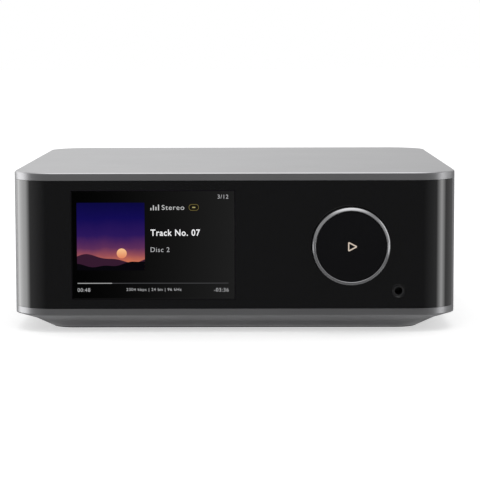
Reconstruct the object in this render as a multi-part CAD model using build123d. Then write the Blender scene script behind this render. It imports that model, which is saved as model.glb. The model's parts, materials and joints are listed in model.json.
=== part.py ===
from build123d import *
import math
import os

# A compact network music streamer: an aluminium housing with a gloss front that wraps round its
# corners, a colour display, a turning ring round a play button, and a row of sockets at the back.
# Millimetres. The front faces -Y, +Z is up, and the origin is the middle of the footprint.

# Body
body_width = 205.0
body_depth = 205.0
body_height = 73.6
corner_radius = 20.0
housing_wall = 3.0
top_thickness = 3.5
top_edge_chamfer = 0.4
sill_height = 2.8
panel_wrap = 12.2
overrun = 2.0

# Base pan and foot
foot_proud = 0.55
pan_wall = 2.5
pan_floor_inset = 15.6
pan_floor_radius = 11.5
pan_mid_inset = 8.0
pan_mid_radius = 16.0
pan_mid_rise = 4.15
pan_rim_rise = 7.25
reveal_height = 0.4
reveal_depth = 0.6
spigot_gap = 0.3
spigot_wall = 2.0
spigot_height = 2.6
foot_margin = 1.0
foot_width = 8.0
foot_groove = 0.6

# Posts, standoffs and screws
post_side_inset = 32.5
post_end_inset = 38.5
post_radius = 4.0
pan_boss_radius = 4.6
thread_gap = 0.05
shank_gap = 0.2
large_head_radius = 2.75
large_head_height = 2.0
large_shank_radius = 1.5
large_socket_radius = 1.3
base_screw_length = 14.0
post_thread_depth = 12.0
head_recess_gap = 0.35
head_recess_depth = 2.4
small_head_radius = 1.9
small_head_height = 1.3
small_shank_radius = 1.0
small_socket_radius = 0.8
short_screw_length = 3.9
socket_depth_share = 0.6
thread_spare = 0.4

# Front panel and frame
panel_thickness = 2.5
panel_gap = 0.1
bond_gap = 0.1
frame_thickness = 3.0
frame_end_gap = 0.2
ear_reach = 17.5
ear_height = 8.0
ear_inner_overlap = 2.0
ear_screw_setback = 3.0
ear_rise_shares = (0.16, 0.84)

# Display
display_side_inset = 65.35
display_z = 40.5
display_width = 75.3
display_height = 50.2
window_gap = 0.05
glass_thickness = 1.3
cell_thickness = 1.7
tray_border = 2.0
tray_lip = 3.0
tray_lip_thickness = 1.3
tray_screw_rise = 19.0
tray_pocket_wall = 1.0
tray_pocket_depth = 0.5

# Knob and play button
knob_side_inset = 49.15
knob_z = 40.3
knob_reach = 7.5
knob_radius = 17.75
knob_hole_gap = 0.4
bevel_width = 1.3
bevel_depth = 1.1
ring_depth = 1.6
ring_lip = 0.3
ring_tongue = 1.0
ring_tongue_gap = 0.05
skirt_wall = 1.0
skirt_end_gap = 0.7
web_setback = 4.0
web_thickness = 1.5
hub_radius = 13.0
hub_bore = 11.0
hub_nose = 1.4
running_gap = 0.05
sleeve_wall = 1.95
sleeve_tail = 6.7
sleeve_hole_gap = 0.5
magnet_wall = 1.7
magnet_length = 1.7
magnet_gap = 0.5
hub_floor_thickness = 2.0
hub_cup_radius = 21.2
hub_cup_wall = 2.2
hub_ear_radius = 3.0
hub_ear_offset = 23.0
hub_ear_angles = (45.0, 165.0, 285.0)
knob_board_thickness = 1.6
knob_screw_length = 11.8
clip_groove_depth = 0.7
clip_groove_width = 0.6
clip_thickness = 0.5
clip_reach = 1.2
clip_mouth = 8.0
button_gap = 0.15
button_setback = 0.4
button_thickness = 1.6
button_stem_wall = 1.5
button_stem_length = 10.0
button_edge = 0.2
button_travel = 0.4
button_stop_gap = 0.05
plunger_radius = 1.5
switch_width = 6.2
switch_height = 3.5
actuator_radius = 1.7
actuator_height = 0.7
icon_width = 4.7
icon_height = 4.9
icon_stroke = 0.64
icon_corner = 0.5
icon_depth = 0.4

# Headphone socket
phones_side_inset = 27.1
phones_z = 19.1
phones_bore = 1.8
phones_nose = 2.5
phones_shoulder = 3.2
phones_setback = 0.3
phones_body = 12.0
phones_body_depth = 12.0
phones_bore_depth = 14.5
phones_hole_gap = 0.1
bezel_wall = 0.7
bezel_setback = 0.1
phones_lug = 4.0
phones_lug_width = 5.0
phones_lug_thickness = 2.0

# Rear panel
window_side_inset = 23.0
window_low = 16.0
window_top_inset = 8.0
rear_recess = 1.0
rear_plate = 2.1
rear_flange_reach = 4.0
rear_flange_thickness = 2.0
rear_rim = 3.0
rear_screw_shares = (-0.97, -0.33, 0.33, 0.97)
rear_reach = 7.5
cutout_gap = 0.15

# Main board
board_thickness = 1.6
board_top = 20.0
main_board_left_inset = 48.0
main_board_right_inset = 37.2
main_board_front_inset = 42.5
board_rear_gap = 0.4
standoff_radius = 3.0
board_screw_length = 7.0
board_hole_spare = 0.4

# Phono-type jacks
jack_side_inset = 42.5
jack_column_spacing = 12.0
jack_column_count = 4
jack_low_rise = 8.0
jack_row_spacing = 14.0
jack_block_width = 10.0
jack_block_depth = 12.0
jack_block_top = 7.0
jack_shell_radius = 4.15
jack_shell_wall = 0.8
jack_root_depth = 4.3
jack_root_wall = 0.6
jack_insert_setback = 0.6
jack_insert_gap = 0.05
jack_pin_bore = 1.65
jack_pin_depth = 12.0
jack_hole_gap = 0.25

# Optical sockets
optical_side_inset = 91.0
optical_width = 10.0
optical_height = 11.0
optical_stack_gap = 0.2
optical_depth = 16.0
optical_proud = 0.8
optical_mouth = 6.4
optical_roof = 1.3
optical_cavity_depth = 12.0
shutter_gap = 0.15
shutter_thickness = 0.8
shutter_setback = 1.2
shutter_pin_radius = 0.45
shutter_pin_drop = 0.9
shutter_pin_bite = 0.9
shutter_top = 0.45

# Digital sockets
usb_spacing = 12.0
usb_width = 14.5
usb_height = 7.0
video_spacing = 16.5
video_width = 15.4
video_height = 6.2
port_depth = 15.0
port_wall = 0.5
port_proud = 0.6
port_back = 1.0
tongue_side_gap = 1.2
tongue_thickness = 1.7
tongue_rise = 0.9
tongue_setback = 1.2
network_spacing = 18.0
network_width = 16.0
network_height = 13.6
network_depth = 16.0
network_wall = 0.4
network_mouth_width = 11.8
network_mouth_height = 7.6
network_mouth_depth = 12.5
network_mouth_rise = 2.4
network_latch_width = 6.2
network_latch_height = 1.6
trigger_spacing = 11.0
trigger_rise = 5.5
trigger_body = 8.0
trigger_depth = 13.0
trigger_nose = 3.0
trigger_proud = 0.8
trigger_bore = 1.8
trigger_bore_depth = 13.5

# Ground terminal
ground_side_inset = 31.5
ground_z = 28.0
ground_post_radius = 2.0
ground_post_end = 0.2
ground_flange_radius = 3.6
ground_flange_thickness = 1.2
ground_washer_radius = 4.2
ground_washer_thickness = 0.8
ground_nut_radius = 4.5
ground_nut_length = 3.8
ground_nut_groove = 0.3
ground_clearance = 0.1

# Mains inlet
inlet_side_inset = 31.5
inlet_z = 36.0
inlet_width = 13.0
inlet_height = 22.0
inlet_depth = 17.5
inlet_flange = 1.5
inlet_flange_thickness = 0.9
inlet_mouth_width = 8.4
inlet_mouth_height = 16.0
inlet_mouth_depth = 10.0
pin_radius = 1.2
pin_pitch = 8.6
pin_setback = 1.0
pin_tail = 4.0
pin_gap = 0.05

# Power board and its parts
power_side_inset = 8.5
power_width = 36.0
power_end_inset = 45.5
lead_radius = 1.1
lead_bend = 2.5
lead_end_gap = 0.05
header_width = 19.0
header_depth = 9.0
header_height = 9.0
lead_clearance = 2.4
transformer_width = 22.0
transformer_depth = 30.0
transformer_height = 24.0
winding_margin = 3.0
core_height_share = 0.72
bulk_radius = 8.0
bulk_height = 26.0
smooth_radius = 5.0
smooth_height = 17.0
sink_width = 3.0
sink_length = 30.0
sink_height = 22.0
choke_radius = 5.6
choke_wire = 2.4
bulk_shares = (0.74, 0.755)
smooth_shares = ((0.22, 0.31), (0.52, 0.31))
choke_shares = (0.25, 0.735)
sink_shares = (0.50, 0.215)
supply_share = 0.31
seat = 0.05
supply_wire_radius = 0.8
supply_wire_spacing = 2.6
supply_wire_count = 4
supply_wire_rise = 9.0
supply_plug_width = 4.0
supply_plug_depth = 12.0
supply_plug_height = 5.0

# Main board parts
processor_width = 18.0
processor_height = 1.6
sink_base = 3.0
main_sink_width = 34.0
main_sink_height = 14.0
fin_count = 9
fin_thickness = 1.2
radio_can_width = 20.0
radio_can_depth = 26.0
radio_can_height = 3.0
audio_can_width = 30.0
audio_can_depth = 24.0
audio_can_height = 4.0
can_wall = 0.3
audio_cap_radius = 3.15
audio_cap_height = 11.0
audio_cap_shares = ((0.66, 0.66), (0.73, 0.66), (0.80, 0.66), (0.87, 0.66),
                    (0.66, 0.73), (0.73, 0.73), (0.80, 0.73), (0.87, 0.73))
relay_width = 15.0
relay_depth = 7.5
relay_height = 9.5
relay_shares = ((0.70, 0.84), (0.88, 0.84))
chip_width = 7.0
chip_depth = 5.0
chip_height = 1.5
chip_shares = ((0.12, 0.16), (0.30, 0.12), (0.60, 0.10), (0.84, 0.20), (0.15, 0.80),
               (0.35, 0.80), (0.52, 0.80), (0.62, 0.36))
crystal_radius = 2.2
crystal_height = 4.0
crystal_shares = ((0.28, 0.42), (0.60, 0.48), (0.92, 0.42))
processor_shares = (0.44, 0.30)
radio_can_shares = (0.14, 0.54)
audio_can_shares = (0.77, 0.50)
main_standoff_shares = ((0.04, 0.10), (0.96, 0.10), (0.04, 0.40), (0.96, 0.58), (0.04, 0.88), (0.42, 0.90))
power_standoff_shares = ((0.32, 0.10), (0.90, 0.10), (0.32, 0.86), (0.90, 0.86))

# Ribbons and antennas
ribbon_thickness = 0.3
ribbon_bend = 1.5
ribbon_seat = 0.1
display_ribbon_width = 18.0
display_ribbon_rise = 12.0
knob_ribbon_width = 8.0
knob_ribbon_rise = 6.0
socket_depth = 5.0
socket_height = 4.0
socket_margin = 1.5
socket_slot_gap = 0.1
ribbon_bite = 2.5
antenna_width = 36.0
antenna_height = 9.0
antenna_thickness = 0.8
antenna_side_inset = 58.5
antenna_top_inset = 16.0
antenna_wire_radius = 0.6
antenna_wire_bend = 4.0
antenna_wire_drop = 8.0
phones_wire_radius = 1.3
phones_wire_bend = 4.0
phones_wire_rise = 8.0

# Places that follow from the sizes above
front_face = -body_depth / 2
rear_face = body_depth / 2
side_face = body_width / 2
post_x = side_face - post_side_inset
post_y = rear_face - post_end_inset
display_x = display_side_inset - side_face
knob_x = side_face - knob_side_inset
phones_x = side_face - phones_side_inset
window_half_width = side_face - window_side_inset
window_high = body_height - window_top_inset
main_board_left = main_board_left_inset - side_face
main_board_right = side_face - main_board_right_inset
main_board_front = front_face + main_board_front_inset
jack_last_x = side_face - jack_side_inset
jack_columns = [jack_last_x - n * jack_column_spacing for n in reversed(range(jack_column_count))]
optical_x = side_face - optical_side_inset
trigger_x = optical_x - trigger_spacing
usb_x = trigger_x - usb_spacing
video_x = usb_x - video_spacing
network_x = video_x - network_spacing
ground_x = side_face - ground_side_inset
inlet_x = inlet_side_inset - side_face
power_left = power_side_inset - side_face
power_right = power_left + power_width
power_half_depth = rear_face - power_end_inset
antenna_x = side_face - antenna_side_inset
antenna_z = body_height - antenna_top_inset
pan_floor_z = foot_proud
pan_inner_z = pan_floor_z + pan_wall
pan_mid_z = pan_floor_z + pan_mid_rise
pan_rim_z = pan_floor_z + pan_rim_rise
housing_low = pan_rim_z + reveal_height
ceiling_z = body_height - top_thickness
sill_top = housing_low + sill_height
opening_back = front_face + panel_wrap
panel_back = front_face + panel_thickness
frame_front = panel_back + bond_gap
frame_back = frame_front + frame_thickness
frame_inset = frame_back - front_face
carrier_back = frame_back + panel_gap
side_inner = side_face - housing_wall
ear_screw_y = front_face + corner_radius + ear_screw_setback
rear_inner = rear_face - housing_wall
plate_outer = rear_face - rear_recess
plate_inner = plate_outer - rear_plate
flange_outer = rear_inner - panel_gap
flange_inner = flange_outer - rear_flange_thickness
board_low = board_top - board_thickness
main_board_rear = flange_inner - board_rear_gap
knob_front = front_face - knob_reach
ring_back = knob_front + ring_depth
web_front = knob_front + web_setback
web_back = web_front + web_thickness
skirt_back = frame_front - skirt_end_gap
skirt_inner = knob_radius - skirt_wall
sleeve_inner = hub_radius + running_gap
sleeve_outer = sleeve_inner + sleeve_wall
ring_inner = knob_radius - bevel_width - ring_lip
sleeve_back = frame_front + sleeve_tail
magnet_back = sleeve_back + magnet_length
hub_floor_front = magnet_back + magnet_gap
hub_back = hub_floor_front + hub_floor_thickness
hub_front = web_front - hub_nose
knob_board_back = hub_back + knob_board_thickness
button_front = knob_front + button_setback
button_back = button_front + button_thickness
stem_outer = hub_bore - running_gap
switch_front = hub_back - switch_height
actuator_front = switch_front - actuator_height
plunger_back = actuator_front - button_travel - button_stop_gap
shell_end = rear_face + rear_reach
jack_low_z = board_top + jack_low_rise
shutter_half = optical_mouth / 2 - shutter_gap
inlet_front = plate_outer + inlet_flange_thickness
inlet_back = inlet_front - inlet_depth
header_x = inlet_x


# Small shared shapes

def block(x0, x1, y0, y1, z0, z1):
    low = Pos(x0, y0, z0)
    return low * Box(x1 - x0, y1 - y0, z1 - z0, align=(Align.MIN, Align.MIN, Align.MIN))


def centred_block(x, z, width, height, y0, y1):
    return block(x - width / 2, x + width / 2, y0, y1, z - height / 2, z + height / 2)


def standing_block(x, y, width, depth, z0, z1):
    return block(x - width / 2, x + width / 2, y - depth / 2, y + depth / 2, z0, z1)


def rod_y(x, z, y0, y1, radius):
    rod = Cylinder(radius, y1 - y0, align=(Align.CENTER, Align.CENTER, Align.MIN))
    return Plane(origin=(x, y0, z), z_dir=Axis.Y.direction) * rod


def rod_z(x, y, z0, z1, radius):
    rod = Cylinder(radius, z1 - z0, align=(Align.CENTER, Align.CENTER, Align.MIN))
    return Pos(x, y, z0) * rod


def tube_y(x, z, y0, y1, outer, inner):
    return rod_y(x, z, y0, y1, outer) - rod_y(x, z, y0 - overrun, y1 + overrun, inner)


def outline(inset, radius, z):
    return Pos(0, 0, z) * RectangleRounded(body_width - 2 * inset, body_depth - 2 * inset, radius)


def prism(inset, radius, z0, z1):
    return extrude(outline(inset, radius, z0), z1 - z0)


def even_prism(inset, z0, z1):
    return prism(inset, corner_radius - inset, z0, z1)


def screw(place, aim, length, head_radius, head_height, shank_radius, socket_radius):
    head = Cylinder(head_radius, head_height, align=(Align.CENTER, Align.CENTER, Align.MAX))
    shank = Cylinder(shank_radius, length, align=(Align.CENTER, Align.CENTER, Align.MIN))
    depth = head_height * socket_depth_share
    hexagon = extrude(Pos(0, 0, -head_height) * RegularPolygon(socket_radius, 6), depth)
    return Plane(origin=place, z_dir=aim) * (head + shank - hexagon)


def large_screw(place, aim, length):
    return screw(place, aim, length, large_head_radius, large_head_height, large_shank_radius,
                 large_socket_radius)


def small_screw(place, aim, length):
    return screw(place, aim, length, small_head_radius, small_head_height, small_shank_radius,
                 small_socket_radius)


def hole(place, aim, radius, start, end):
    drill = Pos(0, 0, start) * Cylinder(radius, end - start, align=(Align.CENTER, Align.CENTER, Align.MIN))
    return Plane(origin=place, z_dir=aim) * drill


def turned(points, x, z):
    # points are (radius, y) pairs, turned about a line along Y
    profile = make_face(Polyline(*points, close=True))
    return Pos(x, 0, z) * revolve(profile, Axis.Y)


def lead(points, radius, bend):
    path = FilletPolyline(*points, radius=bend)
    start = Plane(origin=path @ 0, z_dir=path % 0)
    return sweep(start * Circle(radius), path=path)


def ribbon(points, width):
    path = FilletPolyline(*points, radius=ribbon_bend)
    start = Plane(origin=path @ 0, x_dir=Axis.X.direction, z_dir=path % 0)
    return sweep(start * Rectangle(width, ribbon_thickness), path=path)


def save(name, *solids):
    shape = solids[0] if len(solids) == 1 else Compound(children=list(solids))
    export_step(shape, "parts/" + name + ".step")


# Places that several pieces share

def post_places():
    return [(sx * post_x, sy * post_y) for sx in (-1, 1) for sy in (-1, 1)]


def ear_places():
    low = sill_top + ear_height / 2
    span = ceiling_z - sill_top - ear_height
    return [(side, low + share * span) for side in (-1, 1) for share in ear_rise_shares]


def tray_screw_places():
    reach = display_width / 2 + tray_border + tray_lip / 2
    return [(display_x + sx * reach, display_z + sz * tray_screw_rise) for sx in (-1, 1) for sz in (-1, 1)]


def hub_ear_places():
    places = []
    for angle in hub_ear_angles:
        turn = math.radians(angle)
        places.append((knob_x + hub_ear_offset * math.cos(turn), knob_z + hub_ear_offset * math.sin(turn)))
    return places


def phones_lug_places():
    reach = phones_body / 2 + phones_lug / 2
    return [(phones_x - reach, phones_z), (phones_x, phones_z + reach)]


def rear_screw_places():
    low = window_low - rear_flange_reach / 2
    high = window_high + rear_flange_reach / 2
    return [(share * window_half_width, z) for share in rear_screw_shares for z in (low, high)]


def main_place(shares):
    x = main_board_left + shares[0] * (main_board_right - main_board_left)
    y = main_board_front + shares[1] * (main_board_rear - main_board_front)
    return x, y


def power_place(shares):
    x = power_left + shares[0] * (power_right - power_left)
    y = -power_half_depth + shares[1] * 2 * power_half_depth
    return x, y


def jack_places():
    return [(x, jack_low_z + level * jack_row_spacing) for x in jack_columns for level in (0, 1)]


def optical_centre(level):
    return board_top + seat + optical_height / 2 + level * (optical_height + optical_stack_gap)


def pin_places():
    return [(inlet_x, inlet_z + side * pin_pitch / 2) for side in (-1, 1)]


# Casing

def make_housing():
    shell = even_prism(0, housing_low, body_height)
    top_edges = shell.faces().sort_by(Axis.Z)[-1].edges()
    shell = chamfer(top_edges, top_edge_chamfer)
    shell -= even_prism(housing_wall, housing_low - overrun, ceiling_z)
    shell -= block(-body_width, body_width, front_face - overrun, opening_back, sill_top, ceiling_z)
    shell -= block(-window_half_width, window_half_width, rear_inner - overrun, rear_face + overrun,
                   window_low, window_high)
    for x, y in post_places():
        shell += rod_z(x, y, housing_low, ceiling_z + top_thickness / 2, post_radius)
        shell -= rod_z(x, y, housing_low - overrun, housing_low + post_thread_depth,
                       large_shank_radius + thread_gap)
    depth = short_screw_length - (frame_inset - housing_wall) + thread_spare
    for side, z in ear_places():
        start = (side * side_inner, ear_screw_y, z)
        aim = Vector(side, 0, 0)
        shell -= hole(start, aim, small_shank_radius + thread_gap, -overrun / 2, depth)
    depth = short_screw_length - rear_flange_thickness - panel_gap + thread_spare
    for x, z in rear_screw_places():
        start = (x, rear_inner, z)
        shell -= hole(start, Axis.Y.direction, small_shank_radius + thread_gap, -overrun / 2, depth)
    return shell


def make_base_pan():
    floor = outline(pan_floor_inset, pan_floor_radius, pan_floor_z)
    middle = outline(pan_mid_inset, pan_mid_radius, pan_mid_z)
    rim = outline(0, corner_radius, pan_rim_z)
    pan = loft([floor, middle], ruled=True) + loft([middle, rim], ruled=True)
    pan += even_prism(reveal_depth, pan_rim_z, housing_low)
    spigot_inset = housing_wall + spigot_gap
    spigot_top = housing_low + spigot_height
    pan += even_prism(spigot_inset, housing_low, spigot_top)
    inner_floor = outline(pan_floor_inset, pan_floor_radius, pan_inner_z)
    inner_middle = outline(pan_mid_inset, pan_mid_radius, pan_mid_z + pan_wall)
    pan -= loft([inner_floor, inner_middle], ruled=True)
    pan -= prism(pan_mid_inset, pan_mid_radius, pan_mid_z + pan_wall, housing_low)
    pan -= even_prism(spigot_inset + spigot_wall, housing_low, spigot_top + overrun)
    for x, y in post_places():
        pan += rod_z(x, y, pan_inner_z - pan_wall / 2, housing_low, pan_boss_radius)
    for x, y in post_places():
        pan -= rod_z(x, y, pan_floor_z - overrun, housing_low + overrun, large_shank_radius + shank_gap)
        pan -= rod_z(x, y, pan_floor_z - overrun, pan_floor_z + head_recess_depth,
                     large_head_radius + head_recess_gap)
    outer = pan_floor_inset + foot_margin
    groove = prism(outer, pan_floor_radius - foot_margin, pan_floor_z - overrun, pan_floor_z + foot_groove)
    groove -= prism(outer + foot_width, foot_inner_radius(), pan_floor_z - 2 * overrun,
                    pan_floor_z + foot_groove + overrun)
    return pan - groove


def foot_inner_radius():
    return (pan_floor_radius - foot_margin) / 2


def make_rubber_foot():
    outer = pan_floor_inset + foot_margin + panel_gap
    inner = pan_floor_inset + foot_margin + foot_width - panel_gap
    top = pan_floor_z + foot_groove
    foot = prism(outer, pan_floor_radius - foot_margin - panel_gap, 0, top)
    return foot - prism(inner, foot_inner_radius() + panel_gap, -overrun, top + overrun)


def make_base_screws():
    z = pan_floor_z + head_recess_depth
    return [large_screw((x, y, z), Axis.Z.direction, base_screw_length) for x, y in post_places()]


# Front

def make_front_panel():
    low = sill_top + panel_gap
    high = ceiling_z - panel_gap
    panel = even_prism(0, low, high) - even_prism(panel_thickness, low - overrun, high + overrun)
    panel -= block(-body_width, body_width, opening_back - panel_gap, body_depth,
                   low - overrun, high + overrun)
    panel -= centred_block(display_x, display_z, display_width, display_height,
                           front_face - overrun, panel_back + overrun)
    panel -= rod_y(knob_x, knob_z, front_face - overrun, panel_back + overrun, knob_radius + knob_hole_gap)
    hole_radius = phones_shoulder + phones_hole_gap
    return panel - rod_y(phones_x, phones_z, front_face - overrun, panel_back + overrun, hole_radius)


def make_front_frame():
    low = sill_top + panel_gap
    high = ceiling_z - panel_gap
    front_inset = frame_front - front_face
    frame = even_prism(front_inset, low, high) - even_prism(frame_inset, low - overrun, high + overrun)
    frame -= block(-body_width, body_width, opening_back - frame_end_gap, body_depth,
                   low - overrun, high + overrun)
    ring = even_prism(housing_wall + panel_gap, low, high)
    ring -= even_prism(frame_inset, low - overrun, high + overrun)
    for side, z in ear_places():
        x0, x1 = sorted((side * body_width / 4, side * body_width))
        ear_front = opening_back - ear_inner_overlap
        frame += ring & block(x0, x1, ear_front, ear_front + ear_reach,
                              z - ear_height / 2, z + ear_height / 2)
    for side, z in ear_places():
        start = (side * side_inner, ear_screw_y, z)
        frame -= hole(start, Vector(-side, 0, 0), small_shank_radius + shank_gap, 0, frame_inset)
    opening = 2 * (tray_border + panel_gap)
    frame -= centred_block(display_x, display_z, display_width + opening, display_height + opening,
                           frame_front - overrun, frame_back + overrun)
    frame -= rod_y(knob_x, knob_z, frame_front - overrun, frame_back + overrun,
                   sleeve_outer + sleeve_hole_gap)
    frame -= rod_y(phones_x, phones_z, frame_front - overrun, frame_back + overrun,
                   phones_shoulder + 2 * phones_hole_gap)
    depth = frame_thickness - thread_spare
    for x, z in tray_screw_places() + hub_ear_places() + phones_lug_places():
        start = (x, frame_back, z)
        frame -= hole(start, -Axis.Y.direction, small_shank_radius + thread_gap, -overrun / 2, depth)
    return frame


def make_frame_screws():
    screws = []
    for side, z in ear_places():
        start = (side * (side_face - frame_inset), ear_screw_y, z)
        screws.append(small_screw(start, Vector(side, 0, 0), short_screw_length))
    return screws


# Display

def make_display_glass():
    width = display_width - 2 * window_gap
    height = display_height - 2 * window_gap
    return centred_block(display_x, display_z, width, height, front_face, front_face + glass_thickness)


def make_display_cell():
    width = display_width - 2 * panel_gap
    height = display_height - 2 * panel_gap
    start = front_face + glass_thickness + bond_gap
    return centred_block(display_x, display_z, width, height, start, start + cell_thickness)


def tray_front():
    return front_face + glass_thickness + bond_gap + cell_thickness + bond_gap


def make_display_tray():
    width = display_width + 2 * tray_border
    height = display_height + 2 * tray_border
    front = tray_front()
    back = carrier_back + tray_lip_thickness
    tray = centred_block(display_x, display_z, width, height, front, back)
    tray += centred_block(display_x, display_z, width + 2 * tray_lip, height, carrier_back, back)
    pocket_width = display_width - 2 * tray_pocket_wall
    pocket_height = display_height - 2 * tray_pocket_wall
    tray -= centred_block(display_x, display_z, pocket_width, pocket_height,
                          back - tray_pocket_depth, back + overrun)
    for x, z in tray_screw_places():
        tray -= rod_y(x, z, front, back + overrun, small_shank_radius + shank_gap)
    return tray


def make_display_screws():
    back = carrier_back + tray_lip_thickness
    return [small_screw((x, back, z), -Axis.Y.direction, short_screw_length) for x, z in tray_screw_places()]


# Knob and play button

def make_knob_hub():
    groove_front = web_front - clip_groove_width - panel_gap / 2
    groove_back = groove_front + clip_groove_width
    inner = hub_radius - clip_groove_depth
    cup_inner = hub_cup_radius - hub_cup_wall
    profile = [(hub_bore, hub_front), (hub_radius, hub_front), (hub_radius, groove_front),
               (inner, groove_front), (inner, groove_back), (hub_radius, groove_back),
               (hub_radius, hub_floor_front), (cup_inner, hub_floor_front), (cup_inner, carrier_back),
               (hub_cup_radius, carrier_back), (hub_cup_radius, hub_back), (hub_bore, hub_back)]
    hub = turned(profile, knob_x, knob_z)
    for x, z in hub_ear_places():
        hub += rod_y(x, z, carrier_back, hub_back, hub_ear_radius)
    for x, z in hub_ear_places():
        hub -= rod_y(x, z, carrier_back - overrun, hub_back + overrun, small_shank_radius + shank_gap)
    return hub


def make_knob_shell():
    profile = [(sleeve_inner, web_front), (skirt_inner, web_front), (skirt_inner, ring_back),
               (knob_radius, ring_back), (knob_radius, skirt_back), (skirt_inner, skirt_back),
               (skirt_inner, web_back), (sleeve_outer, web_back), (sleeve_outer, sleeve_back),
               (sleeve_inner, sleeve_back)]
    return turned(profile, knob_x, knob_z)


def make_knob_trim_ring():
    tongue = skirt_inner - ring_tongue_gap
    profile = [(ring_inner, knob_front), (ring_inner + ring_lip, knob_front),
               (knob_radius, knob_front + bevel_depth), (knob_radius, ring_back), (tongue, ring_back),
               (tongue, ring_back + ring_tongue), (ring_inner, ring_back + ring_tongue)]
    return turned(profile, knob_x, knob_z)


def make_knob_clip():
    back = web_front - panel_gap
    inner = hub_radius - clip_groove_depth + running_gap
    outer = hub_radius + clip_reach
    clip = tube_y(knob_x, knob_z, back - clip_thickness, back, outer, inner)
    mouth = block(knob_x - clip_mouth / 2, knob_x + clip_mouth / 2, back - clip_thickness - overrun,
                  back + overrun, knob_z - 2 * outer, knob_z)
    return clip - mouth


def make_encoder_magnet():
    return tube_y(knob_x, knob_z, sleeve_back, magnet_back, sleeve_outer, sleeve_outer - magnet_wall)


def icon_face(grow):
    # a triangle that points to +X, its centroid on the knob's axis
    left = knob_x - icon_width / 3
    tip = left + icon_width
    half = icon_height / 2
    places = [(left, knob_z - half), (tip, knob_z), (left, knob_z + half)]
    corners = [(x, front, z) for front in (button_front,) for x, z in places]
    face = make_face(Polyline(*corners, close=True))
    rounded = fillet(face.vertices(), icon_corner)
    return offset(rounded, grow, kind=Kind.INTERSECTION) if grow else rounded


def icon_solid(grow_outer, grow_inner, depth):
    outer = extrude(icon_face(grow_outer), depth, dir=Axis.Y.direction)
    inner = extrude(icon_face(grow_inner), depth + overrun, dir=Axis.Y.direction)
    return outer - inner


def make_play_button():
    disc = rod_y(knob_x, knob_z, button_front, button_back, ring_inner - button_gap)
    front_edge = disc.faces().sort_by(Axis.Y)[0].edges()
    button = chamfer(front_edge, button_edge)
    stem_back = button_back + button_stem_length
    button += tube_y(knob_x, knob_z, button_back, stem_back, stem_outer, stem_outer - button_stem_wall)
    button += rod_y(knob_x, knob_z, button_back, plunger_back, plunger_radius)
    groove = icon_solid(0, -icon_stroke, icon_depth)
    return button - groove


def make_play_icon():
    return icon_solid(-window_gap, window_gap - icon_stroke, icon_depth - window_gap)


def make_play_switch():
    body = centred_block(knob_x, knob_z, switch_width, switch_width, switch_front, hub_back)
    return body + rod_y(knob_x, knob_z, actuator_front, switch_front, actuator_radius)


def make_knob_board():
    board = rod_y(knob_x, knob_z, hub_back, knob_board_back, hub_cup_radius)
    for x, z in hub_ear_places():
        board += rod_y(x, z, hub_back, knob_board_back, hub_ear_radius)
    for x, z in hub_ear_places():
        board -= rod_y(x, z, hub_back - overrun, knob_board_back + overrun, small_shank_radius + shank_gap)
    return board


def make_knob_screws():
    return [small_screw((x, knob_board_back, z), -Axis.Y.direction, knob_screw_length)
            for x, z in hub_ear_places()]


# Headphone socket

def make_phones_socket():
    nose_front = front_face + phones_setback
    shoulder_front = panel_back - phones_setback
    body_back = carrier_back + phones_body_depth
    socket = rod_y(phones_x, phones_z, nose_front, carrier_back, phones_nose)
    socket += rod_y(phones_x, phones_z, shoulder_front, carrier_back, phones_shoulder)
    socket += centred_block(phones_x, phones_z, phones_body, phones_body, carrier_back, body_back)
    half = phones_body / 2
    lug_back = carrier_back + phones_lug_thickness
    lug_half = phones_lug_width / 2
    socket += block(phones_x - half - phones_lug, phones_x, carrier_back, lug_back,
                    phones_z - lug_half, phones_z + lug_half)
    socket += block(phones_x - lug_half, phones_x + lug_half, carrier_back, lug_back,
                    phones_z, phones_z + half + phones_lug)
    socket -= rod_y(phones_x, phones_z, nose_front - overrun, nose_front + phones_bore_depth, phones_bore)
    for x, z in phones_lug_places():
        socket -= rod_y(x, z, carrier_back - overrun, lug_back + overrun, small_shank_radius + shank_gap)
    return socket


def make_phones_bezel():
    inner = phones_nose + running_gap
    start = front_face + bezel_setback
    return tube_y(phones_x, phones_z, start, panel_back - phones_setback, inner + bezel_wall, inner)


def make_phones_screws():
    back = carrier_back + phones_lug_thickness
    return [small_screw((x, back, z), -Axis.Y.direction, short_screw_length) for x, z in phones_lug_places()]


# Rear panel

def make_rear_panel():
    half = window_half_width - panel_gap
    low = window_low + panel_gap
    high = window_high - panel_gap
    panel = block(-half, half, flange_inner, plate_outer, low, high)
    flange_half = window_half_width + rear_flange_reach
    panel += block(-flange_half, flange_half, flange_inner, flange_outer,
                   window_low - rear_flange_reach, window_high + rear_flange_reach)
    panel -= block(-half + rear_rim, half - rear_rim, flange_inner - overrun, plate_inner,
                   low + rear_rim, high - rear_rim)
    through = (plate_inner - overrun, plate_outer + overrun)
    for x, z in jack_places():
        panel -= rod_y(x, z, *through, jack_shell_radius + jack_hole_gap)
    gap = 2 * cutout_gap
    for level in (0, 1):
        panel -= centred_block(optical_x, optical_centre(level), optical_width + gap,
                               optical_height + gap, *through)
    panel -= port_block(usb_x, usb_width + gap, usb_height, cutout_gap, *through)
    panel -= port_block(video_x, video_width + gap, video_height, cutout_gap, *through)
    panel -= port_block(network_x, network_width + gap, network_height, cutout_gap, *through)
    panel -= rod_y(trigger_x, board_top + trigger_rise, *through, trigger_nose + cutout_gap)
    panel -= rod_y(ground_x, ground_z, *through, ground_post_radius + cutout_gap)
    panel -= centred_block(inlet_x, inlet_z, inlet_width + gap, inlet_height + gap, *through)
    for x, z in rear_screw_places():
        panel -= rod_y(x, z, flange_inner - overrun, rear_inner, small_shank_radius + shank_gap)
    return panel


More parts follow.
